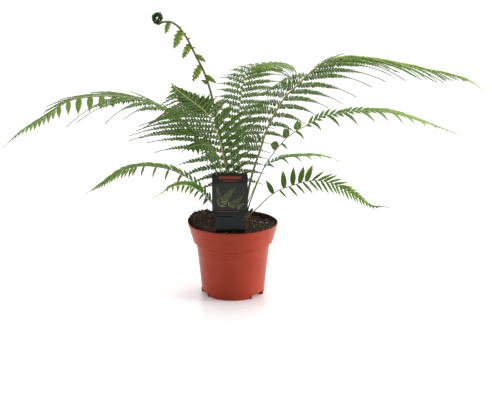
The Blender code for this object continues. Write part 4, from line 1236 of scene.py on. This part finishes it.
def build_crown():
    dice = random.Random("crown")
    points = []
    for row in range(CROWN_ROWS + 1):
        for step in range(CROWN_SIDES):
            point, _ = crown_surface(math.tau * step / CROWN_SIDES, max(0.02, row / CROWN_ROWS))
            points.append(point + anywhere(0.3, dice))
    points += [(*CROWN_CENTRE, CROWN_TOP), (*CROWN_CENTRE, CROWN_FOOT)]
    colours = blended(SCALE_BROWN, HAIR_BROWN, [0.5 * dice.random() for _ in points])
    parts = [Part(np.array(points), ring_faces(CROWN_ROWS + 1, CROWN_SIDES), colours, 0)]
    for _ in range(CROWN_HAIRS):
        point, normal = crown_surface(dice.uniform(0, math.tau), math.sqrt(dice.uniform(0.0, 0.45)))
        direction = unit(normal + 0.7 * anywhere(1, dice) + 0.5 * UP)
        tone = blended(SCALE_BROWN, HAIR_BROWN * 1.3, dice.random())
        length = dice.uniform(*CROWN_HAIR_LENGTHS)
        parts.append(hair(point - 0.4 * normal, direction, length, CROWN_HAIR_RADIUS, tone, dice))
    stems = [(frond.path, frond.stem) for frond in FRONDS] + [(CROZIER_STEM, CROZIER_SEAT_RADIUS)]
    for path, radius in stems:
        line = smooth_curve(path)
        for _ in range(STEM_HAIRS):
            share = dice.uniform(*HAIRY_STEM)
            heading = direction_at(line, share)
            side = unit(np.cross(heading, anywhere(1, dice)))
            tone = blended(HAIR_BROWN, FIBRE_TAN, dice.random())
            base = along(line, [share])[0] + 0.8 * radius * side
            length = dice.uniform(*STEM_HAIR_LENGTHS)
            parts.append(hair(base, unit(side + 0.5 * heading), length, STEM_HAIR_RADIUS, tone, dice))
    parts += [crown_stub(*stub) for stub in STUBS]
    make_piece("crown_stump", parts, [rough_material("crown_scales", 0.85)], "crown")


def lofted(loops, colour, material):
    """A closed shape through loops of points, with a flat end at the first and the last."""
    count = len(loops[0])
    shell = bmesh.new()
    corners = [[shell.verts.new(point) for point in loop] for loop in loops]
    shell.faces.new(corners[0])
    shell.faces.new(corners[-1][::-1])
    for first, second in zip(corners, corners[1:]):
        for index in range(count):
            after = (index + 1) % count
            shell.faces.new((first[index], second[index], second[after], first[after]))
    bmesh.ops.recalc_face_normals(shell, faces=shell.faces)
    bmesh.ops.triangulate(shell, faces=shell.faces)
    return Part(*points_and_triangles(shell), colour, material)


def card_outline(shrink=0.0):
    """The card with its round top corners and its narrower stake, in (x, z), counterclockwise."""
    half_card, half_stake = CARD_WIDTH / 2 - shrink, STAKE_WIDTH / 2 - shrink
    right = [
        (half_stake, STAKE_SHOULDER),
        (half_stake, CARD_FOOT),
        (half_card, CARD_FOOT + CARD_SHOULDER + shrink),
        *rounded((half_card - CARD_CORNER, LABEL_TOP - shrink - CARD_CORNER), CARD_CORNER, 0, 90, 9),
    ]
    left = [(-x, z) for x, z in reversed(right)]
    return [(0, STAKE_TIP + shrink), *right, *left]


def card_body():
    """The card's plastic, with a small bevel round both faces."""
    half = LABEL_THICKNESS / 2
    depths, shrinks = (-half, CARD_BEVEL - half, half - CARD_BEVEL, half), (CARD_BEVEL, 0, 0, CARD_BEVEL)
    loops = [[(x, depth, z) for x, z in card_outline(shrink)] for depth, shrink in zip(depths, shrinks)]
    return lofted(loops, CARD_BLACK, 0)


def printed(outline, layer, colour):
    """A printed shape on the card's front. A higher layer lies over a lower one."""
    front = -LABEL_THICKNESS / 2
    depths = (front + PRINT_SINK, front - PRINT_STAND * (1 + layer))
    return lofted([[(x, depth, z) for x, z in outline] for depth in depths], colour, 1)


def bar(left, right, low, high):
    return [(left, low), (right, low), (right, high), (left, high)]


def lens(start, end, width, steps=9):
    """The outline of a small leaf between two points."""
    heading = unit(end - start)
    across = np.array((-heading[1], heading[0]))
    shares = np.linspace(0, 1, steps)
    middle = start + np.outer(shares, end - start)
    half = width / 2 * np.sin(math.pi * shares ** 0.8)[:, None] * across
    return [*(middle - half), *(middle + half)[-2:0:-1]]


def leaf_spray(foot, tip, width, pairs, dice):
    """A plain fern leaf as flat shapes: a stem and pairs of leaflets that grow shorter to its tip."""
    foot, tip = np.array(foot), np.array(tip)
    heading = unit(tip - foot)
    across = np.array((-heading[1], heading[0]))
    parts = [printed(lens(foot, tip, LEAF_STEM_WIDTH), 1, LEAF_PRINT)]
    for pair in range(pairs):
        share = 0.12 + 0.85 * pair / pairs
        base = foot + share * (tip - foot)
        reach = width * (1 - share) ** 0.8
        for hand in (1, -1):
            end = base + hand * across * reach + heading * (0.45 * reach + 0.6)
            colour = blended(LEAF_PRINT, LEAF_PRINT_PALE, dice.random())
            parts.append(printed(lens(base, end, max(0.8, 0.26 * reach)), 2, colour))
    return parts


def build_label():
    dice = random.Random("label")
    parts = [card_body(), printed(bar(*PICTURE_BOUNDS), 0, PICTURE_DARK)]
    for leaf in PICTURE_LEAVES:
        parts += leaf_spray(*leaf, dice)
    for bounds, colour in PRINTED_BARS:
        parts.append(printed(bar(*bounds), 0, colour))
    parts = [part._replace(points=part.points + (*LABEL_CENTRE, 0)) for part in parts]
    materials = [tinted_plastic("card_plastic", 0.36), tinted_plastic("card_print", 0.3)]
    piece = make_piece("plant_label", parts, materials, "label")
    piece.data.set_sharp_from_angle(angle=math.radians(LABEL_SHARP_ANGLE))


def feed(tree, made, inputs):
    """Gives each named input of a node its value, or links it where that is another node's output."""
    for socket, value in inputs.items():
        if isinstance(value, bpy.types.NodeSocket):
            tree.links.new(value, made.inputs[socket])
        else:
            made.inputs[socket].default_value = value


def node(tree, kind, inputs, output, **settings):
    """The output of a new shader node."""
    made = tree.nodes.new(kind)
    for name, value in settings.items():
        setattr(made, name, value)
    feed(tree, made, inputs)
    return made.outputs[output]


def new_material(name, inputs):
    """A material, its node tree and its shader, with these values on the shader's inputs."""
    made = bpy.data.materials.new(name)
    made.use_nodes = True
    shader = made.node_tree.nodes["Principled BSDF"]
    feed(made.node_tree, shader, inputs)
    return made, made.node_tree, shader


def grain(tree, scale, detail=4.0, roughness=0.6):
    """A noise texture on the piece's own coordinates, in its own metres."""
    place = node(tree, "ShaderNodeTexCoord", {}, "Object")
    inputs = {"Vector": place, "Scale": scale, "Detail": detail, "Roughness": roughness}
    return node(tree, "ShaderNodeTexNoise", inputs, "Fac")


def ranged(tree, value, low, high, start=0.3, end=0.7, **settings):
    """A value that runs between start and end, spread from low to high."""
    inputs = {"Value": value, "From Min": start, "From Max": end, "To Min": low, "To Max": high}
    return node(tree, "ShaderNodeMapRange", inputs, "Result", **settings)


def mixed(tree, first, second, factor):
    inputs = {"A": first, "B": second, "Factor": factor}
    return node(tree, "ShaderNodeMix", inputs, "Result", data_type="RGBA")


def tinted(tree, shader, factor):
    """The piece's own colours times a factor."""
    tint = node(tree, "ShaderNodeAttribute", {}, "Color", attribute_name="tint")
    scaled = node(tree, "ShaderNodeVectorMath", {0: tint, "Scale": factor}, "Vector", operation="SCALE")
    feed(tree, shader, {"Base Color": scaled})


def bumped(tree, shader, height, strength, distance):
    inputs = {"Height": height, "Strength": strength, "Distance": distance}
    feed(tree, shader, {"Normal": node(tree, "ShaderNodeBump", inputs, "Normal")})


def leaf_material():
    made, tree, shader = new_material("fern_leaf", {
        "Roughness": 0.5, "Specular IOR Level": 0.16, "Subsurface Weight": 0.12,
        "Subsurface Radius": (0.6, 1.0, 0.25), "Subsurface Scale": 0.002,
    })
    tinted(tree, shader, ranged(tree, grain(tree, 300.0), 0.75, 1.28))
    return made


def stem_material():
    made, tree, shader = new_material("fern_stem", {"Roughness": 0.45})
    tinted(tree, shader, ranged(tree, grain(tree, 180.0), 0.8, 1.2))
    return made


def rough_material(name, roughness):
    made, tree, shader = new_material(name, {"Roughness": roughness, "Specular IOR Level": 0.25})
    texture = grain(tree, 900.0, 5.0, 0.7)
    tinted(tree, shader, ranged(tree, texture, 0.55, 1.5))
    bumped(tree, shader, texture, 0.6, 0.0004)
    return made


def tinted_plastic(name, roughness):
    made, tree, shader = new_material(name, {"Roughness": roughness, "Specular IOR Level": 0.25})
    tinted(tree, shader, ranged(tree, grain(tree, 500.0), 0.93, 1.07))
    return made


def pot_material():
    """Orange plastic with faint clouds. The wall's inner side, towards the axis, gets painted shade and
    soil dust.
    """
    made, tree, shader = new_material("pot_plastic", {"Roughness": 0.36, "Specular IOR Level": 0.2})
    cloud = ranged(tree, grain(tree, 28.0, 3.0, 0.5), 0.0, 1.0)
    orange = mixed(tree, POT_DEEP, POT_BRIGHT, cloud)
    place = node(tree, "ShaderNodeTexCoord", {}, "Object")
    level = node(tree, "ShaderNodeVectorMath", {0: place, 1: (1, 1, 0)}, "Vector", operation="MULTIPLY")
    normal = node(tree, "ShaderNodeTexCoord", {}, "Normal")
    facing = node(tree, "ShaderNodeVectorMath", {0: level, 1: normal}, "Value", operation="DOT_PRODUCT")
    # Painted shade and soil dust: faces that turn towards the axis are mixed towards a near-black brown
    inward_shade = ranged(tree, facing, SHADE_AND_SOIL_SHARE, 0.0, -0.03, 0.0)
    feed(tree, shader, {"Base Color": mixed(tree, orange, WALL_SHADE_AND_SOIL, inward_shade)})
    bumped(tree, shader, grain(tree, 1400.0, 2.0, 0.5), 0.12, 0.0002)
    return made


def add_world():
    """White studio light that is stronger from behind the object than from the camera's side."""
    world = bpy.data.worlds.new("studio")
    world.use_nodes = True
    tree = world.node_tree
    place = node(tree, "ShaderNodeTexCoord", {}, "Generated")
    depth = node(tree, "ShaderNodeSeparateXYZ", {"Vector": place}, "Y")
    glow = ranged(tree, depth, *GLOW, interpolation_type="SMOOTHSTEP")
    feed(tree, tree.nodes["Background"], {"Color": (1, 1, 1, 1), "Strength": glow})
    bpy.context.scene.world = world


def add_floor():
    shell = bmesh.new()
    bmesh.ops.create_grid(shell, x_segments=1, y_segments=1, size=12)
    floor = new_object("studio_floor", shell)
    made, _, _ = new_material("studio_floor", {"Base Color": (0.9, 0.9, 0.9, 1.0), "Roughness": 0.22})
    floor.data.materials.append(made)


def add_lamp(name, place, aim, size, power):
    light = bpy.data.lights.new(name, "AREA")
    light.size = size
    light.energy = power
    lamp = linked(name, light)
    lamp.location = place
    lamp.rotation_euler = (Vector(aim) - Vector(place)).to_track_quat("-Z", "Y").to_euler()


def add_camera():
    data = bpy.data.cameras.new("camera")
    data.lens = CAMERA_LENS
    data.sensor_width = CAMERA_SENSOR
    camera = linked("camera", data)
    camera.location = CAMERA_PLACE
    camera.rotation_euler = (math.radians(90 - CAMERA_PITCH), 0, 0)
    bpy.context.scene.camera = camera


bpy.context.scene.view_settings.view_transform = "Standard"
add_world()
add_floor()
for lamp in LAMPS:
    add_lamp(*lamp)
add_camera()

foliage = [leaf_material(), stem_material()]
for frond in FRONDS:
    build_frond(frond, foliage)
build_crozier(foliage)
build_pot()
build_soil()
build_crown()
build_label()
